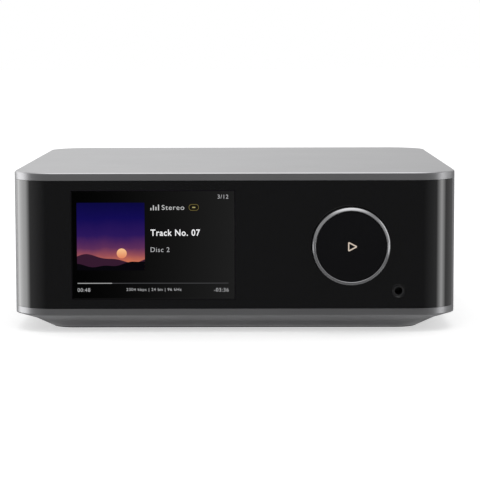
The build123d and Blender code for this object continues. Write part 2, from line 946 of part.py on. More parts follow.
def port_block(x, width, height, grow, y0, y1):
    low = board_top + seat
    return block(x - width / 2, x + width / 2, y0, y1, low - grow, low + height + grow)


def make_rear_screws():
    return [small_screw((x, flange_inner, z), Axis.Y.direction, short_screw_length)
            for x, z in rear_screw_places()]


# Phono-type jacks

def jack_front():
    return plate_inner - panel_gap


def make_jack_blocks():
    blocks = []
    front = jack_front()
    root = front - jack_root_depth
    low = board_top + seat
    for x in jack_columns:
        top = jack_low_z + jack_row_spacing + jack_block_top
        half = jack_block_width / 2
        body = block(x - half, x + half, front - jack_block_depth, front, low, top)
        for level in (0, 1):
            z = jack_low_z + level * jack_row_spacing
            body -= rod_y(x, z, root, front + overrun, jack_shell_radius + jack_insert_gap)
        blocks.append(body)
    return blocks


def make_jack_shell(x, z):
    inner = jack_shell_radius - jack_shell_wall
    shell = rod_y(x, z, plate_outer, shell_end, jack_shell_radius)
    shell += rod_y(x, z, jack_front() - jack_root_depth, plate_outer, inner + jack_root_wall)
    return shell - rod_y(x, z, jack_front() - 2 * jack_root_depth, shell_end + overrun, inner)


def make_jack_shells():
    return [make_jack_shell(x, z) for x, z in jack_places()]


def jack_insert(x, z):
    root = jack_front() - jack_root_depth
    end = shell_end - jack_insert_setback
    radius = jack_shell_radius - jack_shell_wall - jack_insert_gap
    insert = rod_y(x, z, root, end, radius)
    return insert - rod_y(x, z, end - jack_pin_depth, end + overrun, jack_pin_bore)


def make_jack_inserts(columns, levels):
    return [jack_insert(x, jack_low_z + level * jack_row_spacing) for x in columns for level in levels]


# Optical sockets

def optical_hinge(level):
    front = plate_outer + optical_proud
    ceiling = optical_centre(level) + optical_height / 2 - optical_roof
    return front - shutter_setback, ceiling - shutter_pin_drop


def make_optical_block(level):
    centre = optical_centre(level)
    front = plate_outer + optical_proud
    body = centred_block(optical_x, centre, optical_width, optical_height, front - optical_depth, front)
    half = optical_mouth / 2
    ceiling = centre + optical_height / 2 - optical_roof
    body -= block(optical_x - half, optical_x + half, front - optical_cavity_depth, front + overrun,
                  centre - half, ceiling)
    y, z = optical_hinge(level)
    reach = half + shutter_pin_bite + panel_gap
    start = (optical_x, y, z)
    body -= hole(start, Axis.X.direction, shutter_pin_radius + running_gap, -reach, reach)
    return body


def make_optical_shutter(level):
    y, z = optical_hinge(level)
    low = optical_centre(level) - shutter_half
    half_thickness = shutter_thickness / 2
    flap = block(optical_x - shutter_half, optical_x + shutter_half, y - half_thickness, y + half_thickness,
                 low, z + shutter_top)
    reach = optical_mouth / 2 + shutter_pin_bite
    pin = hole((optical_x, y, z), Axis.X.direction, shutter_pin_radius, -reach, reach)
    return flap + pin


# Digital sockets

def make_port_shell(x, width, height):
    front = plate_outer + port_proud
    back = front - port_depth
    shell = port_block(x, width, height, 0, back, front)
    inner_back = back + port_back
    return shell - port_block(x, width - 2 * port_wall, height, -port_wall, inner_back, front + overrun)


def make_port_tongue(x, width, height):
    front = plate_outer + port_proud
    back = front - port_depth + port_back
    half = width / 2 - port_wall - tongue_side_gap
    middle = board_top + seat + height / 2 + tongue_rise
    return block(x - half, x + half, back, front - tongue_setback,
                 middle - tongue_thickness / 2, middle + tongue_thickness / 2)


def make_network_shield():
    front = plate_outer + port_proud
    shell = port_block(network_x, network_width, network_height, 0, front - network_depth, front)
    inner = port_block(network_x, network_width - 2 * network_wall, network_height, -network_wall,
                       front - network_depth + network_wall, front + overrun)
    return shell - inner


def network_mouth():
    low = board_top + seat + network_mouth_rise
    return low, low + network_mouth_height


def make_network_insert():
    front = plate_outer + port_proud
    back = front - network_depth + network_wall
    width = network_width - 2 * network_wall - 2 * window_gap
    grow = -network_wall - window_gap
    body = port_block(network_x, width, network_height, grow, back, front - port_wall)
    low, high = network_mouth()
    half = network_mouth_width / 2
    mouth_back = front - network_mouth_depth
    body -= block(network_x - half, network_x + half, mouth_back, front + overrun, low, high)
    latch = network_latch_width / 2
    return body - block(network_x - latch, network_x + latch, mouth_back, front + overrun,
                        low - network_latch_height, low + overrun / 2)


def make_trigger_socket():
    z = board_top + trigger_rise
    nose_end = plate_outer + trigger_proud
    back = plate_inner - panel_gap - trigger_depth
    half = trigger_body / 2
    body = block(trigger_x - half, trigger_x + half, back, plate_inner - panel_gap,
                 board_top + seat, z + half)
    body += rod_y(trigger_x, z, plate_inner - trigger_nose, nose_end, trigger_nose)
    return body - rod_y(trigger_x, z, nose_end - trigger_bore_depth, nose_end + overrun, trigger_bore)


# Ground terminal

def make_ground_post():
    shaft = rod_y(ground_x, ground_z, plate_inner, shell_end - ground_post_end, ground_post_radius)
    flange_front = plate_inner - seat
    flange = rod_y(ground_x, ground_z, flange_front - ground_flange_thickness, flange_front,
                   ground_flange_radius)
    neck = rod_y(ground_x, ground_z, flange_front, plate_inner, ground_post_radius)
    return shaft + flange + neck


def make_ground_washer():
    start = plate_outer + ground_clearance
    return tube_y(ground_x, ground_z, start, start + ground_washer_thickness,
                  ground_washer_radius, ground_post_radius + running_gap)


def make_ground_nut():
    start = plate_outer + 2 * ground_clearance + ground_washer_thickness
    end = start + ground_nut_length
    nut = tube_y(ground_x, ground_z, start, end, ground_nut_radius, ground_post_radius + running_gap)
    middle = (start + end) / 2
    half = ground_nut_groove / 2
    groove = tube_y(ground_x, ground_z, middle - half, middle + half,
                    ground_nut_radius + overrun, ground_nut_radius - ground_nut_groove)
    return nut - groove


# Mains inlet

def make_mains_inlet():
    body = centred_block(inlet_x, inlet_z, inlet_width, inlet_height, inlet_back, inlet_front)
    grow = 2 * inlet_flange
    body += centred_block(inlet_x, inlet_z, inlet_width + grow, inlet_height + grow,
                          plate_outer + window_gap, inlet_front)
    mouth = SlotOverall(inlet_mouth_height, inlet_mouth_width, rotation=90)
    start = Plane(origin=(inlet_x, inlet_front - inlet_mouth_depth, inlet_z),
                  x_dir=Axis.X.direction, z_dir=Axis.Y.direction)
    body -= extrude(start * mouth, inlet_mouth_depth + overrun)
    for x, z in pin_places():
        body -= rod_y(x, z, inlet_back - overrun, inlet_front, pin_radius + pin_gap)
    return body


def make_mains_pins():
    return [rod_y(x, z, inlet_back - pin_tail, inlet_front - pin_setback, pin_radius)
            for x, z in pin_places()]


def make_mains_leads():
    tail = inlet_back - pin_tail - lead_end_gap
    aside = post_radius + lead_clearance + lead_radius
    header_rear = power_half_depth
    bend_y = (tail + post_y + post_radius) / 2
    low = board_top + header_height / 2
    leads = []
    for side, place in zip((-1, 1), reversed(pin_places())):
        x = header_x + side * aside
        z = place[1]
        points = [(inlet_x, tail, z), (inlet_x, bend_y, z), (x, bend_y, low),
                  (x, header_rear + lead_end_gap, low)]
        leads.append(lead(points, lead_radius, lead_bend))
    return leads


# Power board

def make_power_board():
    board = block(power_left, power_right, -power_half_depth, power_half_depth, board_low, board_top)
    for shares in power_standoff_shares:
        x, y = power_place(shares)
        board -= rod_z(x, y, board_low - overrun, board_top + overrun, large_shank_radius + shank_gap)
    return board


def make_mains_header():
    y = power_half_depth - header_depth / 2
    return standing_block(header_x, y, header_width, header_depth,
                          board_top + seat, board_top + header_height)


def power_middle():
    return (power_left + power_right) / 2


def make_transformer_core():
    x = power_middle()
    low = board_top + seat
    top = low + transformer_height * core_height_share
    core = standing_block(x, 0, transformer_width, transformer_depth, low + winding_margin, top)
    width = transformer_width - 2 * winding_margin
    depth = transformer_depth - 2 * winding_margin
    return core - standing_block(x, 0, width, depth, low, top + overrun)


def make_transformer_winding():
    x = power_middle()
    low = board_top + seat
    width = transformer_width - 2 * winding_margin - 2 * seat
    depth = transformer_depth - 2 * winding_margin - 2 * seat
    return standing_block(x, 0, width, depth, low, low + transformer_height)


def make_power_capacitors():
    low = board_top + seat
    pieces = [rod_z(*power_place(bulk_shares), low, low + bulk_height, bulk_radius)]
    for shares in smooth_shares:
        pieces.append(rod_z(*power_place(shares), low, low + smooth_height, smooth_radius))
    return pieces


def make_power_sink():
    x, y = power_place(sink_shares)
    half = sink_length / 2
    low = board_top + seat
    top = low + sink_height
    plate = block(x - half, x + half, y - sink_width, y, low, top)
    lip = block(x - half, x + half, y - 3 * sink_width, y, top - sink_width, top)
    return plate + lip


def make_choke():
    x, y = power_place(choke_shares)
    return Pos(x, y, board_top + seat + choke_wire) * Torus(choke_radius, choke_wire)


def supply_y():
    return power_place((0, supply_share))[1]


def make_supply_plugs():
    low = board_top + seat
    y = supply_y()
    left = standing_block(power_right - supply_plug_width, y, supply_plug_width, supply_plug_depth,
                          low, low + supply_plug_height)
    right = standing_block(main_board_left + supply_plug_width, y, supply_plug_width, supply_plug_depth,
                           low, low + supply_plug_height)
    return [left, right]


def make_supply_leads():
    base = board_top + seat + supply_plug_height + lead_end_gap
    x0 = power_right - supply_plug_width
    x1 = main_board_left + supply_plug_width
    leads = []
    middle = (supply_wire_count - 1) / 2
    for number in range(supply_wire_count):
        y = supply_y() + (number - middle) * supply_wire_spacing
        top = base + supply_wire_rise
        points = [(x0, y, base), (x0, y, top), (x1, y, top), (x1, y, base)]
        leads.append(lead(points, supply_wire_radius, lead_bend))
    return leads


# Main board

def make_main_board():
    board = block(main_board_left, main_board_right, main_board_front, main_board_rear, board_low, board_top)
    for shares in main_standoff_shares:
        x, y = main_place(shares)
        board -= rod_z(x, y, board_low - overrun, board_top + overrun, large_shank_radius + shank_gap)
    return board


def standoff_places():
    places = [main_place(shares) for shares in main_standoff_shares]
    return places + [power_place(shares) for shares in power_standoff_shares]


def make_standoffs():
    pieces = []
    for x, y in standoff_places():
        post = rod_z(x, y, pan_inner_z + seat, board_low - seat, standoff_radius)
        depth = board_screw_length - board_thickness + board_hole_spare
        thread_radius = large_shank_radius + thread_gap
        pieces.append(post - rod_z(x, y, board_low - depth, board_low + overrun, thread_radius))
    return pieces


def make_board_screws():
    return [large_screw((x, y, board_top + seat), -Axis.Z.direction, board_screw_length)
            for x, y in standoff_places()]


def make_processor():
    x, y = main_place(processor_shares)
    low = board_top + seat
    return standing_block(x, y, processor_width, processor_width, low, low + processor_height)


def make_main_sink():
    x, y = main_place(processor_shares)
    low = board_top + 2 * seat + processor_height
    top = low + main_sink_height
    sink = standing_block(x, y, main_sink_width, main_sink_width, low, low + sink_base)
    pitch = (main_sink_width - fin_thickness) / (fin_count - 1)
    for number in range(fin_count):
        left = x - main_sink_width / 2 + number * pitch
        sink += block(left, left + fin_thickness, y - main_sink_width / 2, y + main_sink_width / 2,
                      low + sink_base / 2, top)
    return sink


def make_can(shares, width, depth, height):
    x, y = main_place(shares)
    low = board_top + seat
    can = standing_block(x, y, width, depth, low, low + height)
    inner_width = width - 2 * can_wall
    inner_depth = depth - 2 * can_wall
    return can - standing_block(x, y, inner_width, inner_depth, low - overrun, low + height - can_wall)


def make_audio_capacitors():
    low = board_top + seat
    return [rod_z(*main_place(shares), low, low + audio_cap_height, audio_cap_radius)
            for shares in audio_cap_shares]


def make_relays():
    low = board_top + seat
    return [standing_block(*main_place(shares), relay_width, relay_depth, low, low + relay_height)
            for shares in relay_shares]


def make_chips():
    low = board_top + seat
    return [standing_block(*main_place(shares), chip_width, chip_depth, low, low + chip_height)
            for shares in chip_shares]


def make_crystals():
    low = board_top + seat
    return [rod_z(*main_place(shares), low, low + crystal_height, crystal_radius)
            for shares in crystal_shares]


# Ribbons, their sockets and the small leads

def socket_front():
    return main_board_front + socket_margin


def ribbon_level():
    return board_top + seat + socket_height / 2


def ribbon_socket(x, width):
    front = socket_front()
    low = board_top + seat
    body = block(x - width / 2 - socket_margin, x + width / 2 + socket_margin, front, front + socket_depth,
                 low, low + socket_height)
    half = ribbon_thickness / 2 + socket_slot_gap
    slot_half = width / 2 + socket_slot_gap
    level = ribbon_level()
    return body - block(x - slot_half, x + slot_half, front - overrun, front + ribbon_bite + socket_slot_gap,
                        level - half, level + half)


def make_ribbon_sockets():
    return [ribbon_socket(display_x, display_ribbon_width), ribbon_socket(knob_x, knob_ribbon_width)]


def make_display_ribbon():
    y = carrier_back + tray_lip_thickness - tray_pocket_depth + ribbon_seat + ribbon_thickness / 2
    level = ribbon_level()
    points = [(display_x, y, level + display_ribbon_rise), (display_x, y, level),
              (display_x, socket_front() + ribbon_bite, level)]
    return ribbon(points, display_ribbon_width)


def make_knob_ribbon():
    y = knob_board_back + ribbon_seat + ribbon_thickness / 2
    level = ribbon_level()
    points = [(knob_x, y, level + knob_ribbon_rise), (knob_x, y, level),
              (knob_x, socket_front() + ribbon_bite, level)]
    return ribbon(points, knob_ribbon_width)


def make_phones_lead():
    # past the inner side of the right front post, over the knob's ribbon socket and down to the board
    start_x = phones_x - phones_wire_bend
    start_y = carrier_back + phones_body_depth + lead_end_gap
    post_side = post_x - post_radius - 3 * phones_wire_radius
    end_x = post_side - 2 * phones_wire_bend
    end_y = socket_front() + socket_depth + 2 * phones_wire_bend
    top = board_top + seat + phones_wire_rise
    points = [(start_x, start_y, phones_z), (start_x, start_y + 1.5 * phones_wire_bend, phones_z),
              (post_side, -post_y - post_radius, top), (end_x, end_y, top), (end_x, end_y, board_top + seat)]
    return lead(points, phones_wire_radius, phones_wire_bend / 2)


def antenna_back():
    return plate_inner - seat


def make_antennas():
    back = antenna_back()
    return [centred_block(side * antenna_x, antenna_z, antenna_width, antenna_height,
                          back - antenna_thickness, back) for side in (-1, 1)]


def make_antenna_leads():
    start_y = antenna_back() - antenna_thickness - lead_end_gap
    can_x, can_y = main_place(radio_can_shares)
    can_top = board_top + seat + radio_can_height + lead_end_gap
    level = antenna_z - antenna_wire_drop
    leads = []
    for side in (-1, 1):
        end_x = can_x + side * radio_can_width / 4
        start_x = side * (antenna_x - antenna_width / 4)
        points = [(start_x, start_y, antenna_z), (start_x, start_y - 2 * antenna_wire_bend, antenna_z),
                  (end_x, can_y + 2 * radio_can_depth / 3, level), (end_x, can_y, level - antenna_wire_drop),
                  (end_x, can_y, can_top)]
        leads.append(lead(points, antenna_wire_radius, antenna_wire_bend))
    return leads


def write_casing():
    save("housing", make_housing())
    save("base_pan", make_base_pan())
    save("rubber_foot", make_rubber_foot())
    save("base_screws", *make_base_screws())
    save("rear_panel", make_rear_panel())
    save("rear_screws", *make_rear_screws())
    save("front_panel", make_front_panel())
    save("front_frame", make_front_frame())


def write_front():
    save("display_glass", make_display_glass())
    save("display_cell", make_display_cell())
    save("display_tray", make_display_tray())
    save("front_screws", *make_frame_screws(), *make_display_screws(), *make_phones_screws())
    save("display_ribbon", make_display_ribbon())
    save("knob_hub", make_knob_hub())
    save("knob_shell", make_knob_shell())
    save("knob_trim_ring", make_knob_trim_ring())
    save("knob_clip", make_knob_clip())
    save("encoder_magnet", make_encoder_magnet())
    save("play_button", make_play_button())
    save("play_icon", make_play_icon())
    save("play_switch", make_play_switch())
    save("knob_board", make_knob_board())
    save("knob_screws", *make_knob_screws())
    save("knob_ribbon", make_knob_ribbon())
    save("phones_socket", make_phones_socket())
    save("phones_bezel", make_phones_bezel())


def write_rear():
    save("jack_blocks", *make_jack_blocks())
    save("jack_shells", *make_jack_shells())
    save("white_inserts", *make_jack_inserts(jack_columns[1:], (1,)))
    save("red_inserts", *make_jack_inserts(jack_columns[1:], (0,)))
    save("black_inserts", *make_jack_inserts(jack_columns[:1], (0, 1)))
    save("optical_blocks", make_optical_block(0), make_optical_block(1))
    save("optical_in_shutter", make_optical_shutter(1))
    save("optical_out_shutter", make_optical_shutter(0))
    save("port_shells", make_port_shell(usb_x, usb_width, usb_height),
         make_port_shell(video_x, video_width, video_height), make_network_shield())
    save("port_inserts", make_port_tongue(usb_x, usb_width, usb_height),
         make_port_tongue(video_x, video_width, video_height), make_network_insert())
    save("trigger_socket", make_trigger_socket())
    save("ground_post", make_ground_post())
    save("ground_washer", make_ground_washer())
    save("ground_nut", make_ground_nut())
    save("mains_inlet", make_mains_inlet())
    save("mains_pins", *make_mains_pins())


def write_boards():
    save("power_board", make_power_board())
    save("power_plugs", make_mains_header(), *make_supply_plugs())
    save("transformer_core", make_transformer_core())
    save("windings", make_transformer_winding(), make_choke())
    save("power_capacitors", *make_power_capacitors())
    save("heat_sinks", make_power_sink(), make_main_sink())
    save("power_leads", *make_mains_leads(), *make_supply_leads())
    save("main_board", make_main_board())
    save("standoffs", *make_standoffs())
    save("board_screws", *make_board_screws())
    save("shield_cans", make_can(radio_can_shares, radio_can_width, radio_can_depth, radio_can_height),
         make_can(audio_can_shares, audio_can_width, audio_can_depth, audio_can_height), *make_crystals())
    save("audio_capacitors", *make_audio_capacitors())
    save("chips", make_processor(), *make_chips(), *make_relays())
    save("ribbon_sockets", *make_ribbon_sockets())
    save("antennas", *make_antennas())
    save("signal_leads", *make_antenna_leads(), make_phones_lead())


os.makedirs("parts", exist_ok=True)
write_casing()
write_front()
write_rear()
write_boards()
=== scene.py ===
import json
import math
import bpy
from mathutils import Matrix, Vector


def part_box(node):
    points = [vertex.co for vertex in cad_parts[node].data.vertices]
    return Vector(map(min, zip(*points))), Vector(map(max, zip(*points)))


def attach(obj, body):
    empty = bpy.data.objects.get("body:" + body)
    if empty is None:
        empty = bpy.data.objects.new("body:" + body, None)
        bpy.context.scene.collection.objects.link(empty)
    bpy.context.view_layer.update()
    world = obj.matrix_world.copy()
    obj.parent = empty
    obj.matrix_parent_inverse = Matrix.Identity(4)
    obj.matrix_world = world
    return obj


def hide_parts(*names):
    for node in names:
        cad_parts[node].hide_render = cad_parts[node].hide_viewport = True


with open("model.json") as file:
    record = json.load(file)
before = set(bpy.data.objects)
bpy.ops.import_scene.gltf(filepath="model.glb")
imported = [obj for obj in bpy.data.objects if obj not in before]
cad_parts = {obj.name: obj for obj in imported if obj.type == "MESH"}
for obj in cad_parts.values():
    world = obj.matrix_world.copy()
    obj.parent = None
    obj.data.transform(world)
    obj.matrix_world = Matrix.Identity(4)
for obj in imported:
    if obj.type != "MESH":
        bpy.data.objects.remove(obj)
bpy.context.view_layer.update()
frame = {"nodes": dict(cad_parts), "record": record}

mm = 0.001
tiny = 1e-7                    # points closer than this, in metres, are one
slotOf = {row["node"]: row["material_slot"] for row in frame["record"]["subparts"]}
print("frame loaded:", len(frame["nodes"]), "nodes")


# Small helpers

def clearSelection():
    bpy.ops.object.select_all(action="DESELECT")


def pick(*pieces):
    # only these are selected, and the first of them is active
    clearSelection()
    for piece in pieces:
        piece.select_set(True)
    bpy.context.view_layer.objects.active = pieces[0]


def settle(piece):
    # the place, turn and size go into the mesh
    pick(piece)
    bpy.ops.object.transform_apply(location=True, rotation=True, scale=True)


def joinPieces(pieces):
    pick(*pieces)
    bpy.ops.object.join()
    return pieces[0]


def fitOut(piece, name, body, material):
    piece.name = name
    piece.data.name = name
    piece.data.materials.clear()
    piece.data.materials.append(material)
    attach(piece, body)


def roundOf(node):
    # a round node's middle across the part and up it, its two ends along the part and its radius, in mm
    low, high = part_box(node)
    return ((low[0] + high[0]) / 2 / mm, (low[2] + high[2]) / 2 / mm, low[1] / mm, high[1] / mm,
            (high[0] - low[0]) / 2 / mm)


def turnPiece(section, middleX, middleZ, steps):
    # section holds corners, each a radius and a place along the part in mm; the axis runs along the part
    clearSelection()
    bpy.ops.mesh.primitive_circle_add(vertices=len(section), radius=mm, fill_type="NOTHING")
    piece = bpy.context.object
    for vertex, (radius, along) in zip(piece.data.vertices, section):
        vertex.co = ((middleX + radius) * mm, along * mm, middleZ * mm)
    bpy.ops.object.mode_set(mode="EDIT")
    bpy.ops.mesh.select_all(action="SELECT")
    bpy.ops.mesh.spin(steps=steps, angle=2 * math.pi, center=(middleX * mm, 0, middleZ * mm),
                      axis=(0, 1, 0))
    bpy.ops.mesh.select_all(action="SELECT")
    bpy.ops.mesh.remove_doubles(threshold=tiny)
    bpy.ops.mesh.normals_make_consistent(inside=False)
    bpy.ops.object.mode_set(mode="OBJECT")
    return piece


def roundEdges(piece, width, segments=2):
    pick(piece)
    sharp = math.radians(30)   # edges that turn by less are smooth already
    rounding = piece.modifiers.new("rounding", "BEVEL")
    rounding.width = width * mm
    rounding.segments = segments
    rounding.limit_method = "ANGLE"
    rounding.angle_limit = sharp
    bpy.ops.object.modifier_apply(modifier="rounding")
    bpy.ops.object.shade_smooth_by_angle(angle=sharp)
    return piece


def toLinear(value):
    share = value / 255
    return share / 12.92 if share <= 0.04045 else ((share + 0.055) / 1.055) ** 2.4


def screenColour(red, green, blue):
    # from the 0 to 255 of a screen's colour to the light it gives
    return (toLinear(red), toLinear(green), toLinear(blue), 1.0)


# Finishes

plainLook = {                  # what a finish has where its own row says nothing
    "metal": 0.0, "ior": 1.5, "specular": 0.5, "coat": 0.0,
    "drift": 0.06, "cloudScale": 60, "cloudDetail": 4.0,     # the colour's two tones and their patches
    "smudgeScale": 35, "smudgeDetail": 5.0,                  # the patches of the sheen
    "grainDepth": 0.02, "grainDetail": 2.0,
    "markReach": 0.005,                                      # depth of the turning marks, mm
    # the edge band: a painted edge highlight, partly real wear
    "edgeWidth": 0.3, "edgeShare": 0.8, "edgeBend": (0.80, 0.995),
    "glowStrength": 1.0,
}


def addNode(tree, kind, **values):
    # a name that isn't one of the node's settings is one of its sockets
    node = tree.nodes.new(kind)
    for key, value in values.items():
        if hasattr(node, key):
            setattr(node, key, value)
        else:
            node.inputs[key].default_value = value
    return node


def feed(tree, socket, value):
    # a fixed value, or what another node gives
    if isinstance(value, bpy.types.NodeSocket):
        tree.links.new(value, socket)
    else:
        socket.default_value = value


def addRange(tree, source, low, high, start=0.3, end=0.7):
    # start to end becomes low to high; a noise lies mostly between 0.3 and 0.7
    node = addNode(tree, "ShaderNodeMapRange")
    for name, value in (("From Min", start), ("From Max", end), ("To Min", low), ("To Max", high)):
        node.inputs[name].default_value = value
    tree.links.new(source, node.inputs["Value"])
    return node.outputs["Result"]


def addMath(tree, operation, *values):
    node = addNode(tree, "ShaderNodeMath", operation=operation)
    for socket, value in zip(node.inputs, values):
        feed(tree, socket, value)
    return node.outputs["Value"]


def addNoise(tree, place, scale, detail):
    node = addNode(tree, "ShaderNodeTexNoise", Scale=scale, Detail=detail)
    tree.links.new(place, node.inputs["Vector"])
    return node.outputs["Fac"]


def mixColours(tree, share, first, second):
    node = addNode(tree, "ShaderNodeMix", data_type="RGBA")
    for number, value in ((0, share), (6, first), (7, second)):   # 6 and 7 are its sockets for colours
        feed(tree, node.inputs[number], value)
    return node.outputs[2]


def addBump(tree, shader, height, strength, depth):
    bump = addNode(tree, "ShaderNodeBump", Strength=strength, Distance=depth * mm)
    tree.links.new(height, bump.inputs["Height"])
    tree.links.new(bump.outputs["Normal"], shader.inputs["Normal"])


def splitPlace(tree):
    # where a point of the piece lies, whole and as its three parts
    place = addNode(tree, "ShaderNodeTexCoord").outputs["Object"]
    split = addNode(tree, "ShaderNodeSeparateXYZ")
    tree.links.new(place, split.inputs["Vector"])
    return place, split.outputs


def makeFinish(name, ownLook):
    look = {**plainLook, **ownLook}
    material = bpy.data.materials.new(name)
    material.use_nodes = True
    tree = material.node_tree
    shader = tree.nodes["Principled BSDF"]
    shader.inputs["Metallic"].default_value = look["metal"]
    shader.inputs["IOR"].default_value = look["ior"]
    shader.inputs["Specular IOR Level"].default_value = look["specular"]
    shader.inputs["Coat Weight"].default_value = look["coat"]
    place = addNode(tree, "ShaderNodeTexCoord").outputs["Object"]

    # colour: a slow drift between two tones, lighter along the edges: in part real edge wear, in part a
    # painted edge highlight
    cloud = addNoise(tree, place, look["cloudScale"], look["cloudDetail"])
    base, drift = Vector(look["colour"]), look["drift"]
    colour = mixColours(tree, addRange(tree, cloud, 0.0, 1.0),
                        (*(base * (1 - drift)), 1), (*(base * (1 + drift)), 1))
    # the edge colour is a painted highlight along the rounded edges, with a little real wear mixed in
    if "edge" in look:
        rounded = addNode(tree, "ShaderNodeBevel", samples=4, Radius=look["edgeWidth"] * mm)
        geometry = addNode(tree, "ShaderNodeNewGeometry")
        match = addNode(tree, "ShaderNodeVectorMath", operation="DOT_PRODUCT")
        tree.links.new(rounded.outputs["Normal"], match.inputs[0])
        tree.links.new(geometry.outputs["Normal"], match.inputs[1])
        wearAndHighlight = addRange(tree, match.outputs["Value"], look["edgeShare"], 0.0, *look["edgeBend"])
        colour = mixColours(tree, wearAndHighlight, colour, (*look["edge"], 1))
    tree.links.new(colour, shader.inputs["Base Color"])

    # sheen of the surface: patches that are a little duller
    smudge = addNoise(tree, place, look["smudgeScale"], look["smudgeDetail"])
    tree.links.new(addRange(tree, smudge, *look["rough"]), shader.inputs["Roughness"])

    # fine grain of the moulded, blasted or cast surface
    if "grain" in look:
        grain = addNoise(tree, place, look["grainScale"], look["grainDetail"])
        addBump(tree, shader, grain, look["grain"], look["grainDepth"])

    # rings that the lathe left round the piece's middle
    if "turned" in look:
        across, up = look["turned"]
        centred = addNode(tree, "ShaderNodeMapping", Location=(-across, 0, -up))
        flat = addNode(tree, "ShaderNodeVectorMath", operation="MULTIPLY")
        flat.inputs[1].default_value = (1, 0, 1)
        radius = addNode(tree, "ShaderNodeVectorMath", operation="LENGTH")
        tree.links.new(place, centred.inputs["Vector"])
        tree.links.new(centred.outputs["Vector"], flat.inputs[0])
        tree.links.new(flat.outputs["Vector"], radius.inputs[0])
        marks = addNode(tree, "ShaderNodeTexNoise", noise_dimensions="1D", Scale=look["markScale"])
        tree.links.new(radius.outputs["Value"], marks.inputs["W"])
        addBump(tree, shader, marks.outputs["Fac"], look["markDepth"], look["markReach"])
    if "glow" in look:
        shader.inputs["Emission Color"].default_value = (*look["glow"], 1)
        shader.inputs["Emission Strength"].default_value = look["glowStrength"]
    return material


knobMiddle = roundOf("knob_trim_ring")[:2]
# a row's edge colour paints a highlight along the rounded edges, besides a little real wear
finishes = {
    "housing": {"colour": (0.40, 0.40, 0.41), "metal": 1.0, "rough": (0.32, 0.345), "drift": 0.01,
                "grain": 0.25, "grainScale": 5000, "grainDepth": 0.01, "edge": (0.46, 0.46, 0.47)},
    "front_gloss": {"colour": (0.0016, 0.0016, 0.0022), "rough": (0.03, 0.06), "drift": 0.1,
                    "ior": 1.7, "coat": 1.0},
    "inner_black": {"colour": (0.018, 0.018, 0.019), "rough": (0.42, 0.55), "grain": 0.5,
                    "grainScale": 3000, "edge": (0.05, 0.05, 0.052)},
    "pan": {"colour": (0.47, 0.47, 0.48), "metal": 0.15, "rough": (0.48, 0.55), "drift": 0.02,
            "grain": 0.25, "grainScale": 5000, "grainDepth": 0.01, "edge": (0.48, 0.48, 0.49)},
    "foot": {"colour": (0.03, 0.03, 0.03), "rough": (0.75, 0.88), "grain": 0.6, "grainScale": 2500},
    "steel": {"colour": (0.42, 0.42, 0.43), "metal": 1.0, "rough": (0.25, 0.4), "edge": (0.7, 0.7, 0.7)},
    "window": {"colour": (0.001, 0.001, 0.0012), "rough": (0.03, 0.06), "specular": 0.12},
    "cell": {"colour": (0.01, 0.01, 0.012), "rough": (0.12, 0.2), "glow": (0.15, 0.10, 0.20),
             "glowStrength": 0.3},
    "tray": {"colour": (0.58, 0.58, 0.58), "metal": 1.0, "rough": (0.35, 0.5), "grain": 0.3,
             "grainScale": 2000},
    "ribbon": {"colour": (0.45, 0.26, 0.06), "rough": (0.3, 0.4)},
    "knob_black": {"colour": (0.012, 0.012, 0.013), "metal": 0.6, "rough": (0.30, 0.38), "grain": 0.3,
                   "grainScale": 4000, "edge": (0.06, 0.06, 0.062)},
    "trim": {"colour": (0.36, 0.36, 0.37), "metal": 1.0, "rough": (0.21, 0.26), "drift": 0.02,
             "turned": (knobMiddle[0] * mm, knobMiddle[1] * mm), "markScale": 9000, "markDepth": 0.3},
    "magnet": {"colour": (0.06, 0.06, 0.06), "rough": (0.6, 0.8), "grain": 0.6, "grainScale": 2500},
    "button": {"colour": (0.0065, 0.0065, 0.0075), "rough": (0.05, 0.09), "specular": 0.4},
    "icon": {"colour": (0.05, 0.05, 0.05), "rough": (0.3, 0.4), "glow": (0.60, 0.50, 0.41)},
    "board": {"colour": (0.01, 0.09, 0.04), "rough": (0.3, 0.45), "grain": 0.5, "grainScale": 900},
    "nickel": {"colour": (0.62, 0.59, 0.55), "metal": 1.0, "rough": (0.16, 0.28),
               "edge": (0.85, 0.83, 0.8)},
    "gold": {"colour": (0.86, 0.60, 0.22), "metal": 1.0, "rough": (0.14, 0.24),
             "edge": (0.98, 0.8, 0.45)},
    "white_plastic": {"colour": (0.78, 0.78, 0.75), "rough": (0.28, 0.4)},
    "red_plastic": {"colour": (0.58, 0.02, 0.015), "rough": (0.28, 0.4)},
    "winding": {"colour": (0.55, 0.34, 0.04), "rough": (0.3, 0.45)},
    "ferrite": {"colour": (0.04, 0.04, 0.042), "rough": (0.55, 0.75), "grain": 0.6, "grainScale": 1800},
    "sleeve": {"colour": (0.02, 0.03, 0.09), "rough": (0.25, 0.35)},
    "lead": {"colour": (0.03, 0.03, 0.03), "rough": (0.45, 0.6)},
    "sink": {"colour": (0.04, 0.04, 0.04), "metal": 0.7, "rough": (0.4, 0.5),
             "edge": (0.12, 0.12, 0.12)},
    "chip": {"colour": (0.025, 0.025, 0.026), "rough": (0.5, 0.65), "grain": 0.5, "grainScale": 3000},
}
materials = {slotName: makeFinish("finish_" + slotName, look) for slotName, look in finishes.items()}
for nodeName, obj in frame["nodes"].items():
    obj.data.materials.clear()
    obj.data.materials.append(materials[slotOf[nodeName]])
print("finishes:", len(materials))


# Finer front pieces

knobRing = {
    "steps": 160,
    "lipWidth": 0.32, "lipDrop": 0.26,     # the inner edge slopes in, towards the button
    "bevelWidth": 1.25, "bevelDepth": 1.15,
    "tongueWall": 0.5, "tongueDepth": 1.0,
    "rounding": 0.12,
}
bezel = {"steps": 96, "wall": 0.66, "chamfer": 0.32, "rounding": 0.08}
bezelLook = {"colour": (0.006, 0.006, 0.007), "rough": (0.10, 0.16), "specular": 0.6, "drift": 0.1}


